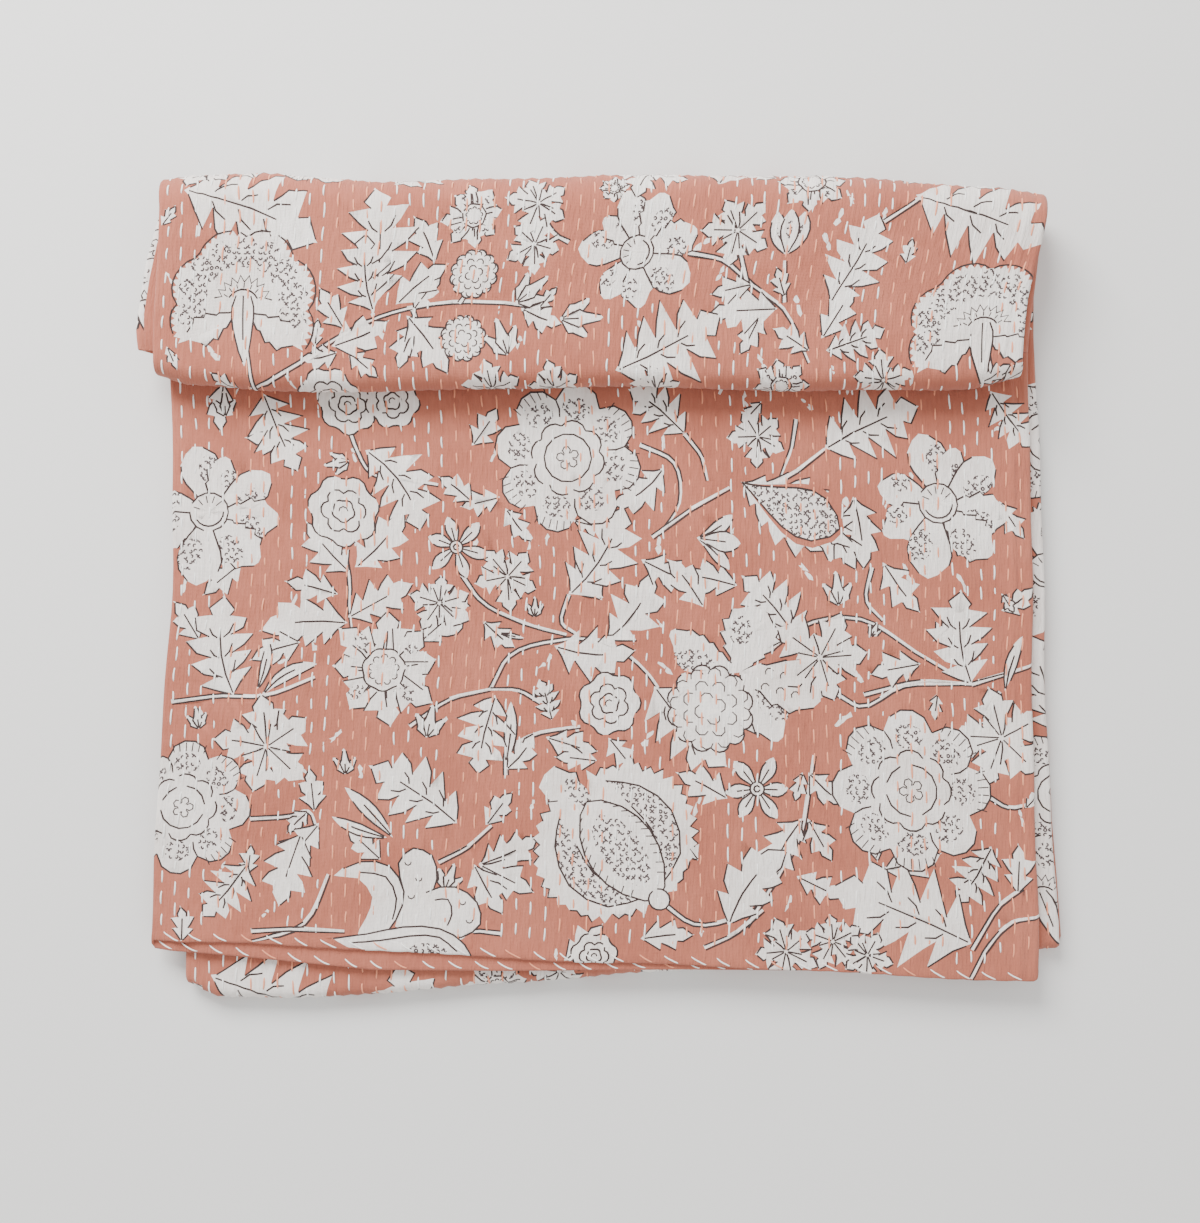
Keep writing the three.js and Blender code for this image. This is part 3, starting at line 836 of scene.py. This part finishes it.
FLAP_PRINT = {
    leaf: [
        (-310, 820, 28, 50, 0), (365, 820, 32, -55, 0), (345, 830, 28, -70, 0),
        (-370, 855, 18, -155, 0), (-380, 965, 20, -35, 0), (270, 935, 22, -5, 0),
        (205, 870, 48, -30, 0), (195, 860, 36, 55, 0.2), (170, 905, 26, 25, 0),
        (150, 890, 36, 160, -0.2), (165, 895, 58, 90, 0.2), (140, 915, 35, 100, 0.2),
        (-45, 895, 22, -40, 0), (-60, 895, 38, -120, 0.3), (-210, 860, 32, -130, 0),
        (-240, 865, 22, -5, 0), (-215, 880, 40, 35, 0), (-150, 885, 42, 150, 0.3),
        (-160, 890, 60, -135, -0.3), (-220, 860, 32, 115, -0.6), (-225, 865, 52, -75, 0.3),
        (-155, 895, 36, -35, 0), (-140, 935, 44, 20, 0.3), (-170, 900, 52, -40, -0.4),
    ],
    lobed_leaf: [
        (210, 860, 52, -75, 0.2), (210, 900, 80, -30, 0.3), (25, 840, 100, -70, 0.3),
        (-190, 905, 95, -5, 0.3), (-190, 895, 66, 25, -0.5), (270, 995, 120, -100, -0.2),
        (-360, 995, 120, -105, -0.2),
    ],
    rose: [(-230, 820, 26, 0)],
    jagged_flower: [(10, 995, 15, 0), (180, 1005, 34, 180), (170, 830, 26, 0), (-110, 975, 29, 0)],
    star_flower: [
        (60, 820, 21, 0), (-30, 825, 21, 0), (-85, 825, 22, 0), (260, 835, 21, 0),
        (120, 960, 25, 20), (-55, 950, 21, 40), (-55, 985, 23, 10),
    ],
    three_petals: [(165, 940, 38, 0)],
    bud: [(-25, 885, 38, -90), (-65, 900, 34, -50), (-70, 855, 34, 20)],
    scaled_ball: [(-110, 870, 20, 0), (-105, 925, 21, 0)],
    wide_flower: [(35, 940, 54, 80)],
    fan_flower: [(345, 875, 66, 0), (-305, 895, 66, 0)],
}
FLAP_STEMS = [
    [(-300, 825), (-255, 850), (-225, 870), (-185, 890), (-135, 900), (-75, 900), (-40, 895)],
    [(-295, 820), (-300, 860), (-305, 885)],
    [(-25, 950), (-35, 955), (-55, 980)],
    [(-35, 955), (-55, 945)],
    [(80, 940), (110, 935), (140, 915), (170, 895), (195, 850)],
    [(170, 900), (165, 935)],
    [(135, 915), (125, 940), (120, 955)],
    [(205, 875), (215, 900), (220, 935)],
    [(245, 970), (270, 990), (285, 1005)],
    [(355, 835), (350, 865)],
    [(-115, 900), (-105, 915)],
    [(-155, 895), (-145, 870)],
    [(355, 820), (370, 835), (390, 840)],
]
# Motifs that lie across the side folds of the last third, which stand out past the others
EDGE_PRINT = {
    lobed_leaf: [(395, 1955, 96, 10, 0.2), (-390, 2180, 84, 0, -0.2), (-390, 2400, 90, 5, 0.2)],
    rosette: [(390, 1900, 58, 0), (390, 2230, 56, 0), (-390, 2060, 50, 0), (-390, 2500, 54, 0)],
    wide_flower: [(385, 2110, 60, 0)],
    fan_flower: [(370, 1800, 62, 15), (-390, 2560, 50, 200)],
}
# Motifs on the far bend, behind the flap
BEND_PRINT = {
    leaf: [
        (370, 1060, 36, 20, 0), (-300, 1005, 40, 20, 0), (-120, 1060, 40, 70, 0),
        (300, 1060, 36, 100, 0), (260, 1010, 44, -30, 0.3), (150, 1010, 40, 60, 0),
        (-20, 1050, 42, -80, 0.3),
    ],
    lobed_leaf: [(100, 1000, 80, -20, 0.2), (-180, 1010, 78, -60, 0.3)],
    star_flower: [(-345, 1030, 28, 0), (40, 1020, 28, 20)],
    jagged_flower: [(205, 1045, 40, 10)],
    rose: [(330, 1040, 26, 0), (-60, 1045, 24, 0)],
    rosette: [(-250, 1050, 46, 0)],
}


SIDE_MARGIN = 372  # a shape past it reaches a side fold
UNDER_FLAP = (805, 1075)
# The strip that shows beyond the near fold, by v, and how far it goes to the right
STRIP = (1732, 1808)
STRIP_END = 70


def reaches(shape, start, end):
    """Whether a shape reaches into a stretch along the sheet."""
    return shape[:, 1].max() > start and shape[:, 1].min() < end


def anywhere(shape):
    return True


def at_sides(shape):
    return np.abs(shape[:, 0]).max() > SIDE_MARGIN and not reaches(shape, *UNDER_FLAP)


def near_fold_strip(shape):
    return reaches(shape, *STRIP) and shape[:, 0].min() < STRIP_END


def print_cloth(motifs, stems=(), specks=0, shift=0, wanted=anywhere):
    """Prints one stretch of cloth: specks lowest, then stems, leaves and flowers, moved along it."""
    before = len(printed)
    along = [v for places in motifs.values() for _, v, *_ in places]
    for _ in range(specks):
        u, v = hand.uniform((-SIDE_MARGIN, min(along)), (SIDE_MARGIN, max(along)))
        speck((u, v + shift), hand.uniform(4, 8.5))
    for points in stems:
        stem([(u, v + shift) for u, v in points])
    for draw, places in motifs.items():
        for u, v, size, turn, *bend in places:
            draw((u, v + shift), size, turn, *bend)
    kept = [pair for pair in printed[before:] if reaches(pair[1], 1, SHEET_END - 1) and wanted(pair[1])]
    for _, shape in kept:
        shape[:, 1] = np.clip(shape[:, 1], 0, SHEET_END)
    printed[before:] = kept


print_cloth(FIELD_PRINT, FIELD_STEMS, specks=90)
print_cloth(FLAP_PRINT, FLAP_STEMS, specks=40)
# How far along the sheet the print repeats. Past the field and the flap, only the side folds and the
# strip beyond the near fold show
FIELD_REPEATS = (560, 1110, 2010)
FLAP_REPEAT = 778
for shift in FIELD_REPEATS:
    print_cloth(FIELD_PRINT, FIELD_STEMS, shift=shift, wanted=at_sides)
print_cloth(EDGE_PRINT, wanted=at_sides)
print_cloth(BEND_PRINT)
print_cloth(FLAP_PRINT, FLAP_STEMS, specks=20, shift=FLAP_REPEAT, wanted=near_fold_strip)

# Lines of the flat sheet that its mesh follows: u across and v along
FOLD_PARTS = 6
SIDE_SHARES = np.array([0.02, 0.06, 0.12, 0.25, 0.4, 0.6, 0.8])
left_fold_lines = np.linspace(LEFT_FOLD_U, MIDDLE_U, FOLD_PARTS + 1)
right_fold_lines = np.linspace(RIGHT_FOLD_U, RIGHT_U, FOLD_PARTS + 2)
left_lines = np.concatenate(([SHEET_LEFT], LEFT_FOLD_U - SIDE_WIDTH * SIDE_SHARES[::-1], left_fold_lines))
right_lines = np.concatenate((right_fold_lines, RIGHT_U + SIDE_WIDTH * SIDE_SHARES, [SHEET_RIGHT]))
coarse_lines = MIDDLE_U + (RIGHT_FOLD_U - MIDDLE_U) * np.array(
    (0.012, 0.03, 0.07, 0.12, 0.2, 0.3, 0.4, 0.5, 0.6, 0.7, 0.8, 0.88, 0.93, 0.97, 0.988)
)
crest_lines = FIRST_ROW + ROW_PITCH * (np.arange(ROWS - 1) + 0.5)
row_lines = FIRST_ROW + ROW_PITCH * np.arange(ROWS)
ridge_lines = np.array([362.2, 364.4, 368.6, 371.9, 375.4])
COARSE = np.round(np.concatenate((left_lines, coarse_lines, right_lines)), 3)
FINE = np.concatenate((left_lines, right_lines, row_lines, crest_lines, ridge_lines))
FINE = np.unique(np.round(FINE, 3))
LOOSE = set(np.round(np.concatenate((crest_lines, row_lines)), 3))
LINES = {"edge": np.unique(np.concatenate((FINE, COARSE))), "hidden": COARSE, "curved": FINE, "flat": FINE}

# Columns: v where a stretch of rows starts, v where it ends, parts, and how it lies
STATIONS = [
    (0, 8, 3, "curved"), (8, 544, 26, "flat"), (544, 653, 3, "hidden"), (653, 661, 6, "hidden"),
    (661, 801, 3, "hidden"), (801, 811, 2, "hidden"), (811, 843, 7, "curved"), (843, 983, 9, "flat"),
    (983, 1069, 12, "curved"), (1069, 1075, 1, "hidden"), (1075, 1737, 12, "hidden"),
    (1737, 1765, 8, "curved"), (1765, 1807, 3, "curved"), (1807, 2425, 13, "hidden"),
    (2425, 2465, 8, "hidden"), (2465, 2595, 4, "hidden"),
]


def rows_of_sheet():
    rows = [(0.0, "edge")]
    for start, end, parts, lie in STATIONS:
        for v in np.linspace(start, end, parts + 1)[1:]:
            rows.append((float(v), lie))
    return rows


def lay_grid(rows, plain):
    """Points of the flat sheet's mesh, and the edges that it has to follow."""
    points = []
    edges = []
    above = {}
    for v, lie in rows:
        lines = COARSE if plain else LINES[lie]
        first = len(points)
        points += [(u, v) for u in lines]
        if plain or lie != "flat":
            edges += [(first + i, first + i + 1) for i in range(len(lines) - 1)]
        row = {u: first + i for i, u in enumerate(lines)}
        edges += [(above[u], row[u]) for u in row if u in above and (lie != "flat" or u not in LOOSE)]
        above = row
    return points, edges


MERGE = 1e-3  # points of the flat sheet this close become one


def cut_cloth(points, edges, shapes):
    """Cuts the flat sheet along its lines and round the shapes on it, and gives points and triangles."""
    points = list(points)
    edges = list(edges)
    for shape in shapes:
        first = len(points)
        count = len(shape)
        points += [tuple(p) for p in shape]
        edges += [(first + i, first + (i + 1) % count) for i in range(count)]
    result = delaunay_2d_cdt(points, edges, [], 0, MERGE, False)
    return np.array([tuple(p) for p in result[0]]), np.array(result[2])


def lies_in(spots, shape):
    """Which spots lie inside a closed shape, also where it crosses itself."""
    a = shape
    b = np.roll(shape, -1, axis=0)
    u, v = spots[:, 0:1], spots[:, 1:2]
    side = (b[:, 0] - a[:, 0]) * (v - a[:, 1]) - (u - a[:, 0]) * (b[:, 1] - a[:, 1])
    up = (a[:, 1] <= v) & (b[:, 1] > v) & (side > 0)
    down = (a[:, 1] > v) & (b[:, 1] <= v) & (side < 0)
    return (up.sum(axis=1) - down.sum(axis=1)) != 0


def paint(slots, spots, shapes):
    """Gives each shape's slot to the triangles whose middles lie in it."""
    order = np.argsort(spots[:, 1])
    heights = spots[order, 1]
    for slot, shape in shapes:
        low, high = np.searchsorted(heights, (shape[:, 1].min(), shape[:, 1].max()))
        near = order[low:high]
        u = spots[near, 0]
        near = near[(u > shape[:, 0].min()) & (u < shape[:, 0].max())]
        slots[near[lies_in(spots[near], shape)]] = slot


def uncovered(shapes):
    """The shapes that no later one lies right over."""
    lows = np.array([shape.min(axis=0) for _, shape in shapes])
    highs = np.array([shape.max(axis=0) for _, shape in shapes])
    kept = []
    for i, (slot, shape) in enumerate(shapes):
        over = (lows[i + 1 :] <= lows[i]).all(axis=1) & (highs[i + 1 :] >= highs[i]).all(axis=1)
        later = i + 1 + np.flatnonzero(over)
        if not any(lies_in(shape, shapes[k][1]).all() for k in later):
            kept.append((slot, shape))
    return kept


rows = rows_of_sheet()
points, edges = lay_grid(rows, False)
shapes = uncovered(printed)
face_points, face_triangles = cut_cloth(points, edges, [shape for _, shape in shapes])
face_slots = np.full(len(face_triangles), DYED)
paint(face_slots, face_points[face_triangles].mean(axis=1), shapes)
ON_EDGE = 1e-4


def edge_loop(points):
    """Numbers of the points round the sheet's four edges, in order, and the way out at each."""
    u, v = points[:, 0], points[:, 1]
    sides = [
        (np.abs(v) < ON_EDGE, u, (0, -1)),
        (np.abs(u - SHEET_RIGHT) < ON_EDGE, v, (1, 0)),
        (np.abs(v - SHEET_END) < ON_EDGE, -u, (0, 1)),
        (np.abs(u - SHEET_LEFT) < ON_EDGE, -v, (-1, 0)),
    ]
    out = np.zeros((len(points), 2))
    for on, _, way in sides:
        out[on] += way
    loop = []
    for on, order, _ in sides:
        found = np.flatnonzero(on)
        loop += list(found[np.argsort(order[found])][:-1])
    return np.array(loop), out


loop, way_out = edge_loop(face_points)
rim = face_points[loop]
back_rows = [row for i, row in enumerate(rows) if row[1] != "flat" or i % 2]
back_grid, back_edges = lay_grid(back_rows, True)
back_points, back_triangles = cut_cloth(back_grid + [tuple(p) for p in rim], back_edges, [])
back_loop, _ = edge_loop(back_points)
assert len(back_loop) == len(loop)

# The two skins and the rounded hem between them
HEM_TURNS = np.radians([40, 90, 140])
FACE_RINGS = 2  # rings of the hem that have the face's print on them
HEM_FADE = 12
HEM_ROLL = 0.35


def hem_pull(u, v):
    """The whip stitches draw the near hems in a little, between scallops."""
    return HEM_SCALLOP * np.abs(np.sin(math.pi * u / WHIP_PITCH)) * smooth_step(1 - v / HEM_FADE)


def face_place(u, v, lift=0.0):
    """Places on the face, or at some height over it, where the folded quilt has them."""
    roll = HEM_ROLL * near_line(v, 4, 3)
    return fold_sheet(u, v - hem_pull(u, v), SHEET / 2 + relief(u, v) + roll + lift)


places = [face_place(*face_points.T)]
rim_u, rim_v = rim.T
rim_v = rim_v - hem_pull(rim_u, rim_v)
for turn in HEM_TURNS:
    out_u, out_v = SHEET / 2 * np.sin(turn) * way_out[loop].T
    places.append(fold_sheet(rim_u + out_u, rim_v + out_v, SHEET / 2 * np.cos(turn)))
u, v = back_points.T
places.append(fold_sheet(u, v - hem_pull(u, v), -SHEET / 2))
starts = np.cumsum([0] + [len(p) for p in places])
back_start = starts[-2]
rings = [loop, *(start + np.arange(len(loop)) for start in starts[1:-2]), back_start + back_loop]
faces = face_triangles.tolist()
slots = face_slots.tolist()
edge_slot = {}
for triangle, face_slot in zip(faces, slots):
    for a, b in zip(triangle, triangle[1:] + triangle[:1]):
        edge_slot[(a, b)] = face_slot
for k, (upper, lower) in enumerate(zip(rings, rings[1:])):
    for i in range(len(loop)):
        j = (i + 1) % len(loop)
        faces.append((upper[j], upper[i], lower[i], lower[j]))
        slots.append(edge_slot.get((loop[i], loop[j]), DYED) if k < FACE_RINGS else PLAIN)
faces += (back_start + back_triangles[:, ::-1]).tolist()
slots += [PLAIN] * len(back_triangles)
places = np.vstack(places) * MM
flat = np.vstack([face_points, *[rim] * len(HEM_TURNS), back_points]) * MM

mesh = bpy.data.meshes.new("quilt")
mesh.from_pydata([tuple(p) for p in places], [], [tuple(int(i) for i in f) for f in faces])
mesh.update()
quilt = bpy.data.objects.new("kantha_quilt", mesh)
bpy.context.collection.objects.link(quilt)
mesh.polygons.foreach_set("use_smooth", np.ones(len(mesh.polygons), bool))
mesh.polygons.foreach_set("material_index", np.array(slots, np.int32))
cloth_map = mesh.uv_layers.new(name="flat")
corners = np.empty(len(mesh.loops), np.int32)
mesh.loops.foreach_get("vertex_index", corners)
cloth_map.data.foreach_set("uv", flat[corners].astype(np.float32).ravel())


# Scales of the textures on the flat sheet, which is in metres
CREASES = (420, 60, 1)  # across the rows and along them
PATCHES = 14
WEAVE = 260
CURLS = 215
WEAVE_HEIGHT = 0.12  # against that of the creases
CREASE_HEIGHT = 0.0016
CURL_RADIUS = 0.27
CURL_LINE = 0.15
CURL_INK = (0.07, 0.05, 0.05, 1)
TERRACOTTA = (0.475, 0.158, 0.1)
OFF_WHITE = (0.92, 0.87, 0.82)
# Darker end of the off-white's random tone patches and of its painted shade in the crease troughs
OFF_WHITE_DARK_TONE_AND_SHADE = (0.76, 0.68, 0.63)


def cotton(name, colour, dark_tone_and_crease_shade, crease_shade, curled=False):
    """Woven cotton with the creases that quilting leaves along its rows, its colour darker in random
    patches of tone and, as painted shade, in the creases' troughs.
    """
    material = bpy.data.materials.new(name)
    material.use_nodes = True
    nodes = material.node_tree.nodes

    def fill(node, inputs):
        for socket, value in inputs.items():
            if isinstance(value, bpy.types.NodeSocket):
                material.node_tree.links.new(value, node.inputs[socket])
            else:
                node.inputs[socket].default_value = value

    def add(kind, inputs, **settings):
        """A new node with its settings and its inputs, which are values or links. Gives its outputs."""
        node = nodes.new("ShaderNode" + kind)
        for setting, value in settings.items():
            setattr(node, setting, value)
        fill(node, inputs)
        return node.outputs

    def reckon(operation, *inputs):
        return add("Math", dict(enumerate(inputs)), operation=operation)["Value"]

    def reckon_way(operation, *inputs):
        return add("VectorMath", dict(enumerate(inputs)), operation=operation)

    def blend(share, a, b):
        return add("Mix", {"Factor": share, "A": a, "B": b}, data_type="RGBA")["Result"]

    cloth = add("UVMap", {}, uv_map="flat")["UV"]
    creased = add("Mapping", {"Vector": cloth, "Scale": CREASES})["Vector"]
    crease = add("TexNoise", {"Vector": creased, "Scale": 1, "Detail": 3})["Fac"]
    patches = add("TexNoise", {"Vector": cloth, "Scale": PATCHES, "Detail": 4})["Fac"]
    yarns = {"Vector": cloth, "Scale": WEAVE, "Distortion": 1.5}
    across, along = (add("TexWave", yarns, bands_direction=way)["Fac"] for way in ("X", "Y"))
    weave = reckon("MAXIMUM", across, along)

    # The colour runs to the darker one in random patches of tone, and, as painted shade, in the troughs of
    # the crease noise that also drives the bump
    patches_and_crease_shade = reckon("MULTIPLY_ADD", crease, crease_shade, patches)
    span = {"Value": patches_and_crease_shade, "From Min": 0.35 + 0.35 * crease_shade, "From Max": 0.65 + 0.65 * crease_shade}
    colours = blend(add("MapRange", span)["Result"], (*dark_tone_and_crease_shade, 1), (*colour, 1))
    if curled:
        # A small ring in each cell of a pattern, open towards a way that the cell's tint gives
        cells = {"Vector": cloth, "Scale": CURLS, "Randomness": 0.4}
        cell = add("TexVoronoi", cells, voronoi_dimensions="2D")
        spot = reckon_way("SUBTRACT", cloth, cell["Position"])["Vector"]
        lean = reckon_way("SUBTRACT", cell["Color"], (0.5, 0.5, 0.5))["Vector"]
        closed = reckon("GREATER_THAN", reckon_way("DOT_PRODUCT", spot, lean)["Value"], -0.0001)
        ring = reckon("COMPARE", cell["Distance"], CURL_RADIUS, CURL_LINE)
        colours = blend(reckon("MULTIPLY", ring, closed), colours, CURL_INK)

    heights = reckon("MULTIPLY_ADD", weave, WEAVE_HEIGHT, crease)
    bumps = add("Bump", {"Height": heights, "Strength": 1, "Distance": CREASE_HEIGHT})["Normal"]
    fill(nodes["Principled BSDF"], {
        "Base Color": colours, "Normal": bumps, "Roughness": 0.92, "Specular IOR Level": 0.2,
        "Sheen Weight": 0.15, "Sheen Roughness": 0.5,
    })
    return material


# In the order of the slots. The second colour of each is the darker end of its random tone patches and of
# the painted shade in the crease troughs
for material in (
    cotton("terracotta_cotton", TERRACOTTA, (0.385, 0.118, 0.074), 0.5),
    cotton("undyed_cotton", OFF_WHITE, OFF_WHITE_DARK_TONE_AND_SHADE, 0.6),
    cotton("curled_cotton", OFF_WHITE, OFF_WHITE_DARK_TONE_AND_SHADE, 0.6, curled=True),
    cotton("dark_line_cotton", (0.055, 0.036, 0.034), (0.035, 0.022, 0.02), 0.3),
    cotton("plain_cotton", TERRACOTTA, (0.375, 0.114, 0.074), 0.5),
):
    mesh.materials.append(material)
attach(quilt, "root")
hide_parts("quilt")

# Running stitch, the kantha rows: cotton thread in short stitches through all layers, in bands of
# four off-white rows and four peach rows.
STITCH = 12.8
STITCH_PITCH = 19.8
THREAD_WIDTH = 1.6
THREAD_HEIGHT = 0.8
THREAD_SIDES = 6
SUNK = 0.35
# Stretches along the sheet whose rows show, by v
STITCHED = [(10, 536), (816, 1062), (1742, 1800)]
WHITE_THREAD = (0.90, 0.88, 0.84)
PEACH_THREAD = (0.8, 0.3, 0.17)


def thread_mesh(name, paths, out, width, height):
    """One mesh of short lengths of thread. Paths and the ways out of the cloth are (n, points, 3)."""
    count, length, _ = paths.shape
    ahead = np.gradient(paths, axis=1)
    ahead /= np.linalg.norm(ahead, axis=2, keepdims=True)
    out = out - ahead * np.sum(out * ahead, axis=2, keepdims=True)
    out /= np.linalg.norm(out, axis=2, keepdims=True)
    side = np.cross(ahead, out)
    turns = np.arange(THREAD_SIDES)[:, None] * 2 * math.pi / THREAD_SIDES
    slim = np.sin(np.linspace(0.35, math.pi - 0.35, length)) ** 0.4
    ring = side[:, :, None] * np.cos(turns) * width / 2 + out[:, :, None] * np.sin(turns) * height / 2
    body = (paths[:, :, None] + ring * slim[:, None, None]).reshape(-1, 3)
    first = (np.arange(count) * length * THREAD_SIDES)[:, None, None]
    start = first + (np.arange(length - 1) * THREAD_SIDES)[:, None]
    k = np.arange(THREAD_SIDES)
    after = (k + 1) % THREAD_SIDES
    around = (start + k, start + after, start + THREAD_SIDES + after, start + THREAD_SIDES + k)
    quads = np.stack(around, axis=-1).reshape(-1, 4)
    low = first[:, 0] + k[::-1]
    high = first[:, 0] + (length - 1) * THREAD_SIDES + k
    threads = bpy.data.meshes.new(name)
    faces = [tuple(int(i) for i in f) for f in (*quads, *low, *high)]
    threads.from_pydata([tuple(p) for p in body * MM], [], faces)
    threads.update()
    threads.polygons.foreach_set("use_smooth", np.ones(len(threads.polygons), bool))
    thing = bpy.data.objects.new(name, threads)
    bpy.context.collection.objects.link(thing)
    return thing


def thread_material(name, colour):
    material = bpy.data.materials.new(name)
    material.use_nodes = True
    shader = material.node_tree.nodes["Principled BSDF"]
    shader.inputs["Base Color"].default_value = (*colour, 1)
    shader.inputs["Roughness"].default_value = 0.75
    shader.inputs["Sheen Weight"].default_value = 0.1
    return material


def lay_rows(band, seed):
    """Paths of the running stitches of one colour, where the quilted face shows."""
    rng = np.random.default_rng(seed)
    starts = []
    for row in range(ROWS):
        if (row // 4) % 2 != band:
            continue
        middle = FIRST_ROW + ROW_PITCH * row
        for low, high in STITCHED:
            v = low + rng.uniform(0, STITCH_PITCH)
            while v < high - STITCH:
                length = STITCH * rng.uniform(0.82, 1.15)
                u = middle + rng.uniform(-0.7, 0.7)
                slant, bow = rng.uniform(-0.9, 0.9), rng.uniform(-0.5, 0.5)
                starts.append((u, v, length, slant, bow))
                v += STITCH_PITCH * rng.uniform(0.88, 1.14)
    u_start, v_start, length, slant, bow = np.array(starts).T[:, :, None]
    t = np.linspace(0, 1, 6)
    u = u_start + slant * (t - 0.5) + bow * np.sin(math.pi * t)
    v = v_start + length * t
    rise = np.sin(math.pi * t) ** 0.5
    lift = np.broadcast_to(THREAD_HEIGHT * 0.6 * rise - SUNK * (1 - rise), u.shape)
    paths = face_place(u, v, lift)
    return paths, face_place(u, v, lift + 1) - paths


white_rows = thread_mesh("running_stitch_white", *lay_rows(0, 3), THREAD_WIDTH, THREAD_HEIGHT)
white_rows.data.materials.append(thread_material("white_thread", WHITE_THREAD))
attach(white_rows, "root")

peach_rows = thread_mesh("running_stitch_peach", *lay_rows(1, 4), THREAD_WIDTH, THREAD_HEIGHT)
peach_rows.data.materials.append(thread_material("peach_thread", PEACH_THREAD))
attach(peach_rows, "root")

# Whip stitch: slanted stitches of the same two cotton threads, taken by hand over the turned in hems
# at the near end, so that they close the sheet's edge.
HEM_THREAD = (1.4, 0.9)  # width and height
HEM_REACH = 6.5
TOP_HEM_STARTS = np.arange(-372, 366, WHIP_PITCH)
LEFT_HEM_STARTS = np.arange(LEFT_FOLD_U - 700, LEFT_FOLD_U - 10, WHIP_PITCH)


def lay_hem_stitches(seed, peach):
    """Paths of the hem stitches of one colour. Every fifth stitch is peach."""
    rng = np.random.default_rng(seed)
    paths = []
    outs = []
    t = np.linspace(0, 1, 8)
    v = HEM_REACH * (1 - t) ** 1.6 + 0.2
    rise = np.sin(math.pi * t) ** 0.5
    lift = 0.35 * rise - 0.4 * (1 - rise)
    for count, u_start in enumerate(TOP_HEM_STARTS):
        u = u_start + rng.uniform(-1.5, 1.5) + rng.uniform(11, 15) * t
        if (count % 5 == 3) == peach:
            paths.append(face_place(u, v, lift))
            outs.append(face_place(u, v, lift + 1) - paths[-1])
    # The hem of the left third shows its plain back
    for count, u_start in enumerate(LEFT_HEM_STARTS):
        u = u_start + rng.uniform(-1.5, 1.5) + rng.uniform(11, 15) * (1 - t)
        if (count % 5 == 1) == peach:
            paths.append(fold_sheet(u, v, -SHEET / 2 - lift))
            outs.append(fold_sheet(u, v, -SHEET / 2 - lift - 1) - paths[-1])
    return np.array(paths), np.array(outs)


white_hem = thread_mesh("whip_stitch_white", *lay_hem_stitches(5, False), *HEM_THREAD)
white_hem.data.materials.append(thread_material("white_hem_thread", WHITE_THREAD))
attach(white_hem, "root")

peach_hem = thread_mesh("whip_stitch_peach", *lay_hem_stitches(5, True), *HEM_THREAD)
peach_hem.data.materials.append(thread_material("peach_hem_thread", PEACH_THREAD))
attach(peach_hem, "root")

# Plain pale floor, soft daylight from above and a camera straight above the quilt. Metres and watts.
FLOOR_SIZE = 8
WINDOW_POWER = 165
FILL_POWER = 18
ROOM_LIGHT = 0.95
CAMERA_HEIGHT = 1.28
LENS = 42.7

bpy.ops.mesh.primitive_plane_add(size=FLOOR_SIZE, location=(0, 0, 0))
floor = bpy.context.object
floor.name = "floor"
pale = bpy.data.materials.new("pale_floor")
pale.use_nodes = True
pale_shader = pale.node_tree.nodes["Principled BSDF"]
pale_shader.inputs["Base Color"].default_value = (0.78, 0.77, 0.75, 1)
pale_shader.inputs["Roughness"].default_value = 0.9
floor.data.materials.append(pale)

bpy.ops.object.light_add(type="AREA", location=(-1.1, 2.0, 1.7))
window = bpy.context.object
window.name = "window_light"
window.data.energy = WINDOW_POWER
window.data.shape = "RECTANGLE"
window.data.size = 1.8
window.data.size_y = 1.2
window.rotation_euler = (math.radians(-50), math.radians(-20), 0)
bpy.ops.object.light_add(type="AREA", location=(0.8, -1.4, 2.2))
fill_light = bpy.context.object
fill_light.name = "fill_light"
fill_light.data.energy = FILL_POWER
fill_light.data.size = 2.5
fill_light.rotation_euler = (math.radians(32), math.radians(18), 0)

world = bpy.data.worlds.new("room")
world.use_nodes = True
background = world.node_tree.nodes["Background"]
background.inputs["Color"].default_value = (1, 1, 1, 1)
background.inputs["Strength"].default_value = ROOM_LIGHT
bpy.context.scene.world = world

bpy.ops.object.camera_add(location=(*PILE_AT * MM, CAMERA_HEIGHT), rotation=(0, 0, 0))
camera = bpy.context.object
camera.data.sensor_fit = "HORIZONTAL"
camera.data.sensor_width = 36
camera.data.lens = LENS
bpy.context.scene.camera = camera
